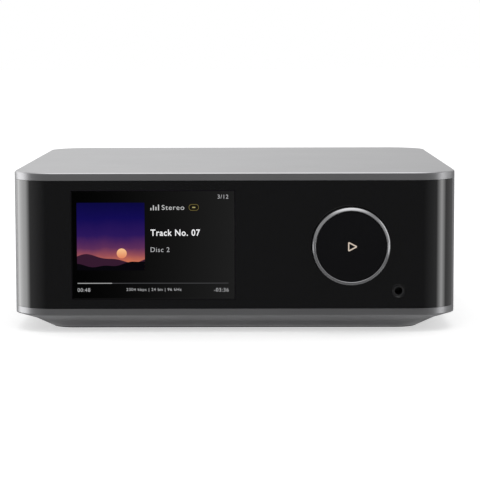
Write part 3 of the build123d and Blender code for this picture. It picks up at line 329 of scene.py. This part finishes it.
def buildKnobRing():
    across, up, front, tail, outer = roundOf("knob_trim_ring")
    inner = outer - knobRing["bevelWidth"] - knobRing["lipWidth"]
    back = tail - knobRing["tongueDepth"]
    tongue = inner + knobRing["tongueWall"]
    section = [(inner, front + knobRing["lipDrop"]), (inner + knobRing["lipWidth"], front),
               (outer, front + knobRing["bevelDepth"]), (outer, back), (tongue, back), (tongue, tail),
               (inner, tail)]
    ring = roundEdges(turnPiece(section, across, up, knobRing["steps"]), knobRing["rounding"])
    fitOut(ring, "knob_ring", "knob", materials["trim"])
    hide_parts("knob_trim_ring")


def buildBezel():
    across, up, front, tail, outer = roundOf("phones_bezel")
    inner = outer - bezel["wall"]
    section = [(inner, front + bezel["chamfer"]), (inner + bezel["wall"] / 2, front), (outer, front),
               (outer, tail), (inner, tail)]
    ring = roundEdges(turnPiece(section, across, up, bezel["steps"]), bezel["rounding"])
    fitOut(ring, "phones_rim", "case", makeFinish("bezel", bezelLook))
    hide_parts("phones_bezel")


buildKnobRing()
buildBezel()
print("knob ring and headphone rim built")


# Lit contents of the display: thin layers, each in front of the one below, sizes in mm

display = {
    "face": -102.5,            # front face of the glass
    "film": 0.02,              # how thick a layer is
    "left": -72.0, "right": -2.6, "textLeft": -38.3,
    "slabCorner": 0.3, "cornerSteps": 5,
    "groundEdge": 0.3,         # how far inside the glass the ground ends
    "groundDark": 0.0002, "groundLight": 0.0130,
    "groundPower": 1.6,        # more keeps the light nearer to the right
    "textSteps": 6, "textSpacing": 1.12,
}
layerLook = {"colour": (0.0006, 0.0006, 0.0006), "rough": (0.05, 0.09), "specular": 0.07}
glows = {                      # red, green and blue from 0 to 255
    "screen_far": (52, 26, 46), "screen_near": (5, 4, 9),
    "screen_mark": (196, 196, 196), "screen_gold": (112, 100, 52), "screen_badge_dark": (20, 19, 16),
    "screen_pale_gold": (168, 158, 104), "screen_bright": (240, 240, 242),
    "screen_played": (158, 158, 158), "screen_dim": (62, 62, 64), "screen_soft": (178, 178, 180),
}
picture = {
    "left": -72.1, "low": 28.9, "side": 31.1,
    "skyStops": [(0.10, (206, 116, 84)), (0.22, (150, 78, 86)), (0.34, (92, 46, 88)),
                 (0.52, (42, 22, 88)), (0.76, (17, 10, 80)), (1.0, (9, 7, 62))],
    "skyPatches": 90, "skyDetail": 4.0, "skyDrift": 0.03,
    "sunPlace": (0.66, 0.25),  # from the left and from below, as shares of the picture's side
    "sunRadius": 2.3, "sunSteps": 64, "sunTop": (248, 196, 142), "sunLow": (222, 128, 92),
    "hillSteps": 72,
    # mean height and waves: each wave's height, how fast it runs and where it starts
    "farHills": (0.175, ((0.05, 5.2, 0.7), (0.018, 13, 0))),
    "nearHills": (0.10, ((0.045, 4.1, 3.4), (0.012, 17, 1))),
}
texts = {
    "title": {"text": "Track No. 07", "middle": 46.2, "height": 3.05, "left": display["textLeft"],
              "width": 22.7, "heavy": 0.018},
    "subtitle": {"text": "Disc 2", "middle": 38.4, "height": 2.2, "left": display["textLeft"]},
    "page": {"text": "3/12", "middle": 62.7, "height": 1.85, "right": display["right"]},
    "played": {"text": "00:48", "middle": 19.8, "height": 1.7, "left": display["left"]},
    "remaining": {"text": "-03:36", "middle": 19.8, "height": 1.7, "right": display["right"]},
    "format": {"text": "2304 kbps | 24 bit | 96 kHz", "middle": 19.8, "height": 1.7, "centre": -36.9,
               "width": 25.3},
    "source": {"text": "Stereo", "middle": 57.8, "height": 2.25, "left": -33.1, "width": 10.3},
}
meter = {"pitch": 1.16, "bar": 0.5, "heights": (1.1, 2.3, 1.6, 2.6), "corner": 0.12}
badge = {"left": -20.7, "width": 4.5, "height": 2.9, "line": 0.22, "corner": 1.2,
         "mark": (1.5, 0.55), "markCorner": 0.45}          # the mark's corner is a share of its height
progress = {"middle": 22.9, "height": 0.38, "played": 15.9, "corner": 0.15}


def layerPlace(layer):
    # where a layer's middle lies along the part, in metres
    return (display["face"] - display["film"] * (layer - 0.5)) * mm


def fitLayer(piece, name, material):
    fitOut(piece, name, "case", material)


def glowFinish(name):
    # one even colour, or black where the colour is linked in later
    return makeFinish(name, {**layerLook, "glow": screenColour(*glows.get(name, (0, 0, 0)))[:3]})


def setGlow(material, colour):
    tree = material.node_tree
    tree.links.new(colour, tree.nodes["Principled BSDF"].inputs["Emission Color"])


def makeWords(row):
    clearSelection()
    bpy.ops.object.text_add(location=(0, 0, 0))
    words = bpy.context.object
    words.data.body = row["text"]
    words.data.offset = row.get("heavy", 0.0)
    words.data.extrude = display["film"] * mm / 2
    words.data.resolution_u = display["textSteps"]
    words.data.space_character = display["textSpacing"]
    bpy.ops.object.convert(target="MESH")
    words = bpy.context.object
    words.rotation_euler = (math.pi / 2, 0, 0)
    settle(words)
    corners = [vertex.co for vertex in words.data.vertices]
    low, high = min(c.z for c in corners), max(c.z for c in corners)
    start, end = min(c.x for c in corners), max(c.x for c in corners)
    size = row["height"] * mm / (high - low)
    across = row["width"] * mm / (end - start) if "width" in row else size
    words.scale = (across, 1, size)
    settle(words)
    start, end, low = start * across, end * across, low * size
    length = (end - start) / mm
    if "left" in row:
        x = row["left"]
    elif "right" in row:
        x = row["right"] - length
    else:
        x = row["centre"] - length / 2
    words.location = (x * mm - start, layerPlace(2), (row["middle"] - row["height"] / 2) * mm - low)
    settle(words)
    return words


def makeBar(x0, x1, z0, z1, layer, corner):
    # a slab with round corners; the first one made, the ground, is bevelled on all its edges, because
    # Blender still selects by vertex then
    clearSelection()
    bpy.ops.mesh.primitive_cube_add(
        size=1, location=((x0 + x1) / 2 * mm, layerPlace(layer), (z0 + z1) / 2 * mm),
        scale=((x1 - x0) * mm, display["film"] * mm, (z1 - z0) * mm))
    bar = bpy.context.object
    settle(bar)
    bpy.ops.object.mode_set(mode="EDIT")
    bpy.ops.mesh.select_all(action="DESELECT")
    bpy.ops.object.mode_set(mode="OBJECT")
    for edge in bar.data.edges:
        a, b = (bar.data.vertices[i].co for i in edge.vertices)
        edge.select = abs(a.x - b.x) < tiny and abs(a.z - b.z) < tiny
    bpy.ops.object.mode_set(mode="EDIT")
    bpy.ops.mesh.select_mode(type="EDGE")
    bpy.ops.mesh.bevel(offset=corner * mm, segments=display["cornerSteps"], affect="EDGES")
    bpy.ops.object.mode_set(mode="OBJECT")
    return bar


def makeHills(hills, layer):
    # a slab 1 mm tall is cut into upright strips, and its upper edge then follows the waves
    left, low, side = picture["left"], picture["low"], picture["side"]
    middle = low * mm + 0.5 * mm
    clearSelection()
    bpy.ops.mesh.primitive_cube_add(size=1, location=((left + side / 2) * mm, layerPlace(layer), middle),
                                    scale=(side * mm, display["film"] * mm, mm))
    slab = bpy.context.object
    settle(slab)
    bpy.ops.object.mode_set(mode="EDIT")
    for number in range(1, picture["hillSteps"]):
        x = (left + side * number / picture["hillSteps"]) * mm
        bpy.ops.mesh.select_all(action="SELECT")
        bpy.ops.mesh.bisect(plane_co=(x, 0, 0), plane_no=(1, 0, 0))
    bpy.ops.object.mode_set(mode="OBJECT")
    mean, waves = hills
    for vertex in slab.data.vertices:
        if vertex.co.z > middle:
            share = (vertex.co.x / mm - left) / side
            top = mean + sum(height * math.sin(rate * share + start) for height, rate, start in waves)
            vertex.co.z = (low + side * top) * mm
    return slab


def makeSkyFinish():
    # clear and dark above, glowing low down
    material = glowFinish("screen_sky")
    tree = material.node_tree
    place, axes = splitPlace(tree)
    low, high = picture["low"] * mm, (picture["low"] + picture["side"]) * mm
    height = addRange(tree, axes["Z"], 0.0, 1.0, low, high)
    patches = addNoise(tree, place, picture["skyPatches"], picture["skyDetail"])
    drift = addRange(tree, patches, -picture["skyDrift"], picture["skyDrift"])
    ramp = addNode(tree, "ShaderNodeValToRGB")
    stops = picture["skyStops"]
    while len(ramp.color_ramp.elements) < len(stops):
        ramp.color_ramp.elements.new(0.5)
    for element, (position, colour) in zip(ramp.color_ramp.elements, stops):
        element.position = position
        element.color = screenColour(*colour)
    tree.links.new(addMath(tree, "ADD", height, drift), ramp.inputs["Fac"])
    setGlow(material, ramp.outputs["Color"])
    return material


def makeSunFinish():
    # redder towards the horizon
    material = glowFinish("screen_sun")
    tree = material.node_tree
    axes = splitPlace(tree)[1]
    middle = picture["low"] + picture["sunPlace"][1] * picture["side"]
    reach = picture["sunRadius"]
    share = addRange(tree, axes["Z"], 0.0, 1.0, (middle - reach) * mm, (middle + reach) * mm)
    setGlow(material, mixColours(tree, share, screenColour(*picture["sunLow"]),
                                 screenColour(*picture["sunTop"])))
    return material


def makeGroundFinish():
    # the back light shows a little, more towards the right
    material = glowFinish("screen_ground")
    tree = material.node_tree
    axes = splitPlace(tree)[1]
    low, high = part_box("display_glass")
    share = addRange(tree, axes["X"], 0.0, 1.0, low[0], high[0])
    level = addMath(tree, "MULTIPLY_ADD", addMath(tree, "POWER", share, display["groundPower"]),
                    display["groundLight"] - display["groundDark"], display["groundDark"])
    grey = addNode(tree, "ShaderNodeCombineColor")
    for channel in ("Red", "Green", "Blue"):
        tree.links.new(level, grey.inputs[channel])
    setGlow(material, grey.outputs["Color"])
    return material


def buildPicture():
    # a setting sun between two ranges of hills, under a clear evening sky
    left, low, side = picture["left"], picture["low"], picture["side"]
    sky = makeBar(left, left + side, low, low + side, layer=2, corner=display["slabCorner"])
    fitLayer(sky, "screen_sky", makeSkyFinish())

    clearSelection()
    across, up = picture["sunPlace"]
    bpy.ops.mesh.primitive_cylinder_add(
        vertices=picture["sunSteps"], radius=picture["sunRadius"] * mm, depth=display["film"] * mm,
        location=((left + across * side) * mm, layerPlace(3), (low + up * side) * mm),
        rotation=(math.pi / 2, 0, 0))
    sun = bpy.context.object
    settle(sun)
    roundEdges(sun, display["film"] / 4)
    fitLayer(sun, "screen_sun", makeSunFinish())

    fitLayer(makeHills(picture["farHills"], layer=4), "screen_hills_far", glowFinish("screen_far"))
    fitLayer(makeHills(picture["nearHills"], layer=5), "screen_hills_near", glowFinish("screen_near"))


def buildSourceRow():
    # level bars, a plain word and a small outlined badge
    middle = texts["source"]["middle"]
    marks = [makeWords(texts["source"])]
    base = middle - max(meter["heights"]) / 2
    for number, height in enumerate(meter["heights"]):
        x = display["textLeft"] + number * meter["pitch"]
        marks.append(makeBar(x, x + meter["bar"], base, base + height, layer=2, corner=meter["corner"]))
    fitLayer(joinPieces(marks), "screen_source", glowFinish("screen_mark"))

    left, line, corner = badge["left"], badge["line"], badge["corner"]
    right = left + badge["width"]
    low, high = middle - badge["height"] / 2, middle + badge["height"] / 2
    outline = makeBar(left, right, low, high, layer=2, corner=corner)
    fitLayer(outline, "screen_badge", glowFinish("screen_gold"))
    inside = makeBar(left + line, right - line, low + line, high - line, layer=3, corner=corner - line)
    fitLayer(inside, "screen_badge_inside", glowFinish("screen_badge_dark"))
    centre = left + badge["width"] / 2
    wide, tall = badge["mark"]
    mark = makeBar(centre - wide / 2, centre + wide / 2, middle - tall / 2, middle + tall / 2, layer=4,
                   corner=tall * badge["markCorner"])
    fitLayer(mark, "screen_badge_mark", glowFinish("screen_pale_gold"))


def buildProgress():
    low, high = progress["middle"] - progress["height"] / 2, progress["middle"] + progress["height"] / 2
    start, corner = display["left"], progress["corner"]
    played = makeBar(start, start + progress["played"], low, high, layer=3, corner=corner)
    fitLayer(played, "screen_bar_played", glowFinish("screen_played"))
    whole = makeBar(start, display["right"], low, high, layer=2, corner=corner)
    fitLayer(whole, "screen_bar", glowFinish("screen_dim"))


def buildDisplay():
    low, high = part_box("display_glass")
    edge = display["groundEdge"]
    ground = makeBar(low[0] / mm + edge, high[0] / mm - edge, low[2] / mm + edge, high[2] / mm - edge,
                     layer=1, corner=display["slabCorner"])
    fitLayer(ground, "screen_ground", makeGroundFinish())
    buildPicture()
    buildSourceRow()
    fitLayer(makeWords(texts["title"]), "screen_title", glowFinish("screen_bright"))
    buildProgress()
    words = [makeWords(texts[name]) for name in ("subtitle", "page", "played", "remaining", "format")]
    fitLayer(joinPieces(words), "screen_words", glowFinish("screen_soft"))


buildDisplay()
print("display built")


# Rear pieces, sizes in mm

legends = {
    "ink": 0.02,               # thickness of the print
    "look": {"colour": (0.52, 0.52, 0.52), "rough": (0.5, 0.6), "drift": 0.04},
    "capitals": 0.7,           # a capital's height as a share of the type size
    "steps": 4, "spacing": 1.1,
    "nameHeight": 1.55, "letterHeight": 1.9,
    # words, then their middle across the part and up it
    "names": [("LINE OUT", 36.0, 49.0), ("LINE IN", 48.0, 49.0), ("PHONO", 60.0, 49.0),
              ("SUB OUT", 24.0, 49.0), ("COAX", 24.0, 21.6), ("OPT IN", 11.5, 44.6),
              ("OPT OUT", 11.5, 18.2), ("TRIG", 0.5, 30.8), ("USB", -11.5, 29.4),
              ("VIDEO", -28.0, 29.0), ("LAN", -46.0, 36.2), ("AC IN", -71.0, 51.6),
              ("GND", 71.0, 34.8)],
    "letters": [("L", 42.0, 42.0), ("R", 42.0, 28.0), ("L", 54.0, 42.0), ("R", 54.0, 28.0)],
}
contacts = {"thickness": 0.12, "rounding": 0.04}
contactRows = [                # from and to lie along the part; under is the height a row hangs from
    {"middle": -11.5, "count": 4, "pitch": 2.35, "width": 1.1, "from": 93.0, "to": 100.2,
     "under": 23.6},
    {"middle": -28.0, "count": 10, "pitch": 1.0, "width": 0.45, "from": 93.0, "to": 100.2,
     "under": 23.2},
    {"middle": -45.99, "count": 8, "pitch": 1.02, "width": 0.42, "from": 91.5, "to": 98.5,
     "under": 29.9, "slope": 2.6},
]
nut = {"teeth": 44, "tooth": 0.94, "bore": 2.06, "waist": 0.35, "rounding": 0.18}


def makeLegend(words, height, across, up):
    # printed on the rear panel, so it reads from behind
    clearSelection()
    bpy.ops.object.text_add(location=(0, 0, 0))
    legend = bpy.context.object
    legend.data.body = words
    legend.data.align_x = "CENTER"
    legend.data.align_y = "CENTER"
    legend.data.size = height / legends["capitals"] * mm
    legend.data.space_character = legends["spacing"]
    legend.data.extrude = legends["ink"] * mm / 2
    legend.data.resolution_u = legends["steps"]
    bpy.ops.object.convert(target="MESH")
    legend = bpy.context.object
    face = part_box("rear_panel")[1][1]
    legend.rotation_euler = (math.pi / 2, 0, math.pi)
    legend.location = (across * mm, face + legends["ink"] * mm / 2, up * mm)
    settle(legend)
    return legend


def buildLegends():
    prints = [makeLegend(words, legends[height], across, up)
              for kind, height in (("names", "nameHeight"), ("letters", "letterHeight"))
              for words, across, up in legends[kind]]
    ink = makeFinish("ink", legends["look"])
    fitOut(joinPieces(prints), "rear_legends", "case", ink)


def makeContact(across, row):
    # a flat spring; in the network socket it slopes down to the plug
    clearSelection()
    thickness = contacts["thickness"]
    length = row["to"] - row["from"]
    middle = (row["from"] + length / 2) * mm
    bpy.ops.mesh.primitive_cube_add(
        size=1, location=(across * mm, middle, (row["under"] - thickness / 2) * mm),
        scale=(row["width"] * mm, length * mm, thickness * mm))
    contact = bpy.context.object
    settle(contact)
    for vertex in contact.data.vertices:
        if vertex.co.y < middle:
            vertex.co.z -= row.get("slope", 0.0) * mm
    return roundEdges(contact, contacts["rounding"], segments=1)


def buildContacts():
    springs = []
    for row in contactRows:
        for number in range(row["count"]):
            offset = number - (row["count"] - 1) / 2
            springs.append(makeContact(row["middle"] + offset * row["pitch"], row))
    fitOut(joinPieces(springs), "socket_contacts", "case", materials["gold"])


def buildNut():
    # a knurled thumb nut with a plain waist
    across, up, start, end, outer = roundOf("ground_nut")
    middle = (start + end) / 2
    waist = nut["waist"]
    section = [(nut["bore"], start), (outer, start), (outer, middle - waist), (outer - waist, middle),
               (outer, middle + waist), (outer, end), (nut["bore"], end)]
    piece = roundEdges(turnPiece(section, across, up, 2 * nut["teeth"]), nut["rounding"])
    step = math.pi / nut["teeth"]
    bpy.ops.object.mode_set(mode="EDIT")
    bpy.ops.mesh.select_mode(type="VERT")
    bpy.ops.mesh.select_all(action="DESELECT")
    bpy.ops.object.mode_set(mode="OBJECT")
    for vertex in piece.data.vertices:
        dx, dz = vertex.co.x - across * mm, vertex.co.z - up * mm
        column = round(math.atan2(dz, dx) / step)
        vertex.select = math.hypot(dx, dz) > (outer - waist) * mm and column % 2 == 1
    bpy.ops.object.mode_set(mode="EDIT")
    bpy.ops.transform.resize(value=(nut["tooth"], 1, nut["tooth"]),
                             center_override=(across * mm, middle * mm, up * mm))
    bpy.ops.object.mode_set(mode="OBJECT")
    bpy.ops.object.shade_flat()
    slotName = slotOf["ground_nut"]
    fitOut(piece, "knurled_nut", "terminal_nut", materials[slotName])
    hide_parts("ground_nut")


buildLegends()
buildContacts()
buildNut()
print("rear pieces built")


# Studio

room = {                       # levels of light, by direction
    "front": 0.068,            # what a level mirror facing the camera sees
    "frontSide": 0.25,         # the same, towards the sides
    "frontSpread": (30, 75),   # degrees from the front over which it gets there
    "frontAbove": 0.66, "sideAbove": 0.54, "aboveHeights": (-0.03, 0.12),
    "frontBelow": 0.13, "belowHeights": (-0.30, -0.16),
    "back": 0.92, "backReach": (-0.25, 0.60),
    "backRight": 0.10, "backRightReach": (-0.05, 0.62),    # the room behind is darker at the right
    "backLow": (0.36, 0.13),   # the darker floor behind, at the left and at the right
    "backLowReach": (-0.6, 0.6), "backLowHeights": (-0.045, 0.02),
    "ceiling": 2.2, "ceilingHeights": (0.74, 1.0),
    # two bright cards that only polished surfaces see
    "leftCard": 2.05, "leftCardFrom": (-75, -92), "leftCardTo": (-143, -127),
    "rightCard": 2.2, "rightCardMiddle": 85, "rightCardSpread": 19,
    "cardHigh": (0.03, -0.04), "cardLow": (-0.34, -0.24),
}


def buildWorld():
    # the room that the part mirrors and is lit by; the camera itself sees plain white
    world = bpy.data.worlds.new("studio")
    bpy.context.scene.world = world
    world.use_nodes = True
    tree = world.node_tree
    tree.nodes.clear()
    out = addNode(tree, "ShaderNodeOutputWorld")
    coordinates = addNode(tree, "ShaderNodeTexCoord")
    split = addNode(tree, "ShaderNodeSeparateXYZ")
    tree.links.new(coordinates.outputs["Generated"], split.inputs["Vector"])
    x, y, z = (split.outputs[axis] for axis in "XYZ")
    angle = addMath(tree, "ARCTAN2", x, addMath(tree, "MULTIPLY", y, -1.0))
    angle = addMath(tree, "MULTIPLY", angle, 180 / math.pi)
    away = addMath(tree, "ABSOLUTE", angle)

    level = addRange(tree, away, room["front"], room["frontSide"], *room["frontSpread"])
    above = addRange(tree, z, 0.0, 1.0, *room["aboveHeights"])
    below = addRange(tree, z, 1.0, 0.0, *room["belowHeights"])
    lift = addRange(tree, away, room["frontAbove"] - room["front"],
                    room["sideAbove"] - room["frontSide"], *room["frontSpread"])
    lift = addMath(tree, "MULTIPLY", above, lift)
    drop = addMath(tree, "MULTIPLY", below, room["frontBelow"] - room["front"])
    level = addMath(tree, "ADD", level, addMath(tree, "ADD", lift, drop))
    back = addMath(tree, "MULTIPLY", addRange(tree, y, 0.0, room["back"], *room["backReach"]),
                   addRange(tree, x, 1.0, room["backRight"], *room["backRightReach"]))
    low = addMath(tree, "MULTIPLY", addRange(tree, x, *room["backLow"], *room["backLowReach"]),
                  addRange(tree, y, 0.0, 1.0, *room["backReach"]))
    raised = addRange(tree, z, 0.0, 1.0, *room["backLowHeights"])
    back = addMath(tree, "ADD", addMath(tree, "MULTIPLY", back, raised),
                   addMath(tree, "MULTIPLY", low, addMath(tree, "SUBTRACT", 1.0, raised)))
    ceiling = addRange(tree, z, 0.0, room["ceiling"], *room["ceilingHeights"])
    level = addMath(tree, "MAXIMUM", level, addMath(tree, "MAXIMUM", back, ceiling))

    left = addMath(tree, "MULTIPLY", addRange(tree, angle, 0.0, room["leftCard"], *room["leftCardFrom"]),
                   addRange(tree, angle, 0.0, 1.0, *room["leftCardTo"]))
    offset = addMath(tree, "ABSOLUTE", addMath(tree, "SUBTRACT", angle, room["rightCardMiddle"]))
    right = addRange(tree, offset, room["rightCard"], 0.0, 0.0, room["rightCardSpread"])
    cards = addMath(tree, "ADD", left, right)
    for heights in (room["cardHigh"], room["cardLow"]):
        cards = addMath(tree, "MULTIPLY", cards, addRange(tree, z, 0.0, 1.0, *heights))
    path = addNode(tree, "ShaderNodeLightPath")
    cards = addMath(tree, "MULTIPLY", cards, path.outputs["Is Glossy Ray"])
    level = addMath(tree, "MAXIMUM", level, cards)

    studio = addNode(tree, "ShaderNodeBackground", Color=(1, 1, 1, 1))
    tree.links.new(level, studio.inputs["Strength"])
    white = addNode(tree, "ShaderNodeBackground", Color=(1, 1, 1, 1))
    mix = addNode(tree, "ShaderNodeMixShader")
    tree.links.new(path.outputs["Is Camera Ray"], mix.inputs["Fac"])
    tree.links.new(studio.outputs["Background"], mix.inputs[1])
    tree.links.new(white.outputs["Background"], mix.inputs[2])
    tree.links.new(mix.outputs["Shader"], out.inputs["Surface"])


floorLook = {                  # sizes in metres but for the drop
    "side": 14,
    "glow": 0.516,             # lifts the floor to white for the camera alone
    "paint": (0.66, 0.66, 0.66),
    "drop": 0.02,              # how far it lies under the foot, mm
    "nearReach": (0.103, 0.120),    # mirrors see the floor itself this near, and the room past it
    "underReach": 0.088,       # this near, light comes up to the part's underside
}


def buildFloor():
    clearSelection()
    bpy.ops.mesh.primitive_plane_add(size=floorLook["side"], location=(0, 0, -floorLook["drop"] * mm))
    floor = bpy.context.object
    floor.name = "studio_floor"
    settle(floor)
    material = bpy.data.materials.new("studio_floor")
    material.use_nodes = True
    tree = material.node_tree
    tree.nodes.clear()
    out = addNode(tree, "ShaderNodeOutputMaterial")
    path = addNode(tree, "ShaderNodeLightPath")
    camera = path.outputs["Is Camera Ray"]
    mirrored = addMath(tree, "MAXIMUM", path.outputs["Is Glossy Ray"],
                       path.outputs["Is Transmission Ray"])
    axes = splitPlace(tree)[1]
    reach = addMath(tree, "MAXIMUM", addMath(tree, "ABSOLUTE", axes["X"]),
                    addMath(tree, "ABSOLUTE", axes["Y"]))
    mirrored = addMath(tree, "MULTIPLY", mirrored,
                       addRange(tree, reach, 0.0, 1.0, *floorLook["nearReach"]))
    under = addMath(tree, "MULTIPLY", addMath(tree, "SUBTRACT", 1.0, camera),
                    addMath(tree, "LESS_THAN", reach, floorLook["underReach"]))

    # clear from below, so that the underside can be looked at, and for the two kinds of ray above
    sides = addNode(tree, "ShaderNodeNewGeometry")
    clear = addMath(tree, "MAXIMUM", mirrored, sides.outputs["Backfacing"])
    clear = addMath(tree, "MAXIMUM", clear, under)
    glow = addNode(tree, "ShaderNodeEmission")
    tree.links.new(addMath(tree, "MULTIPLY", camera, floorLook["glow"]), glow.inputs["Strength"])
    paint = addNode(tree, "ShaderNodeBsdfDiffuse", Color=(*floorLook["paint"], 1))
    both = addNode(tree, "ShaderNodeAddShader")
    tree.links.new(glow.outputs["Emission"], both.inputs[0])
    tree.links.new(paint.outputs["BSDF"], both.inputs[1])
    through = addNode(tree, "ShaderNodeBsdfTransparent")
    mix = addNode(tree, "ShaderNodeMixShader")
    tree.links.new(clear, mix.inputs["Fac"])
    tree.links.new(both.outputs["Shader"], mix.inputs[1])
    tree.links.new(through.outputs["BSDF"], mix.inputs[2])
    tree.links.new(mix.outputs["Shader"], out.inputs["Surface"])
    floor.data.materials.append(material)


lamps = {                      # angles go round the part from its front, positive to the right
    "left_panel": {"angle": -118, "distance": 1.3, "height": 0.45, "wide": 1.4, "tall": 0.98,
                   "level": 0.82},
    "right_panel": {"angle": 104, "distance": 1.3, "height": 0.45, "wide": 1.0, "tall": 0.9,
                    "level": 1.08},
}
lampAim = (0, 0, 0.04)
view = {"place": (0.00949, -0.99147, 0.1352), "turn": (math.pi / 2 - 0.1036, 0.0027, 0.0074),
        "lens": 146.4, "sensor": 36}


def buildLights():
    for name, lamp in lamps.items():
        clearSelection()
        turn, distance = math.radians(lamp["angle"]), lamp["distance"]
        place = Vector((math.sin(turn) * distance, -math.cos(turn) * distance, lamp["height"]))
        bpy.ops.object.light_add(type="AREA", location=place)
        light = bpy.context.object
        light.name = name
        light.data.shape = "RECTANGLE"
        light.data.size = lamp["wide"]
        light.data.size_y = lamp["tall"]
        light.data.energy = lamp["level"] * math.pi * lamp["wide"] * lamp["tall"]
        light.rotation_euler = (Vector(lampAim) - place).to_track_quat("-Z", "Y").to_euler()


def buildCamera():
    bpy.ops.object.camera_add(location=view["place"], rotation=view["turn"])
    camera = bpy.context.object
    camera.name = "camera"
    camera.data.lens = view["lens"]
    camera.data.sensor_width = view["sensor"]
    bpy.context.scene.camera = camera


buildWorld()
buildFloor()
buildLights()
buildCamera()
bpy.context.scene.view_settings.view_transform = "Standard"
print("studio built")
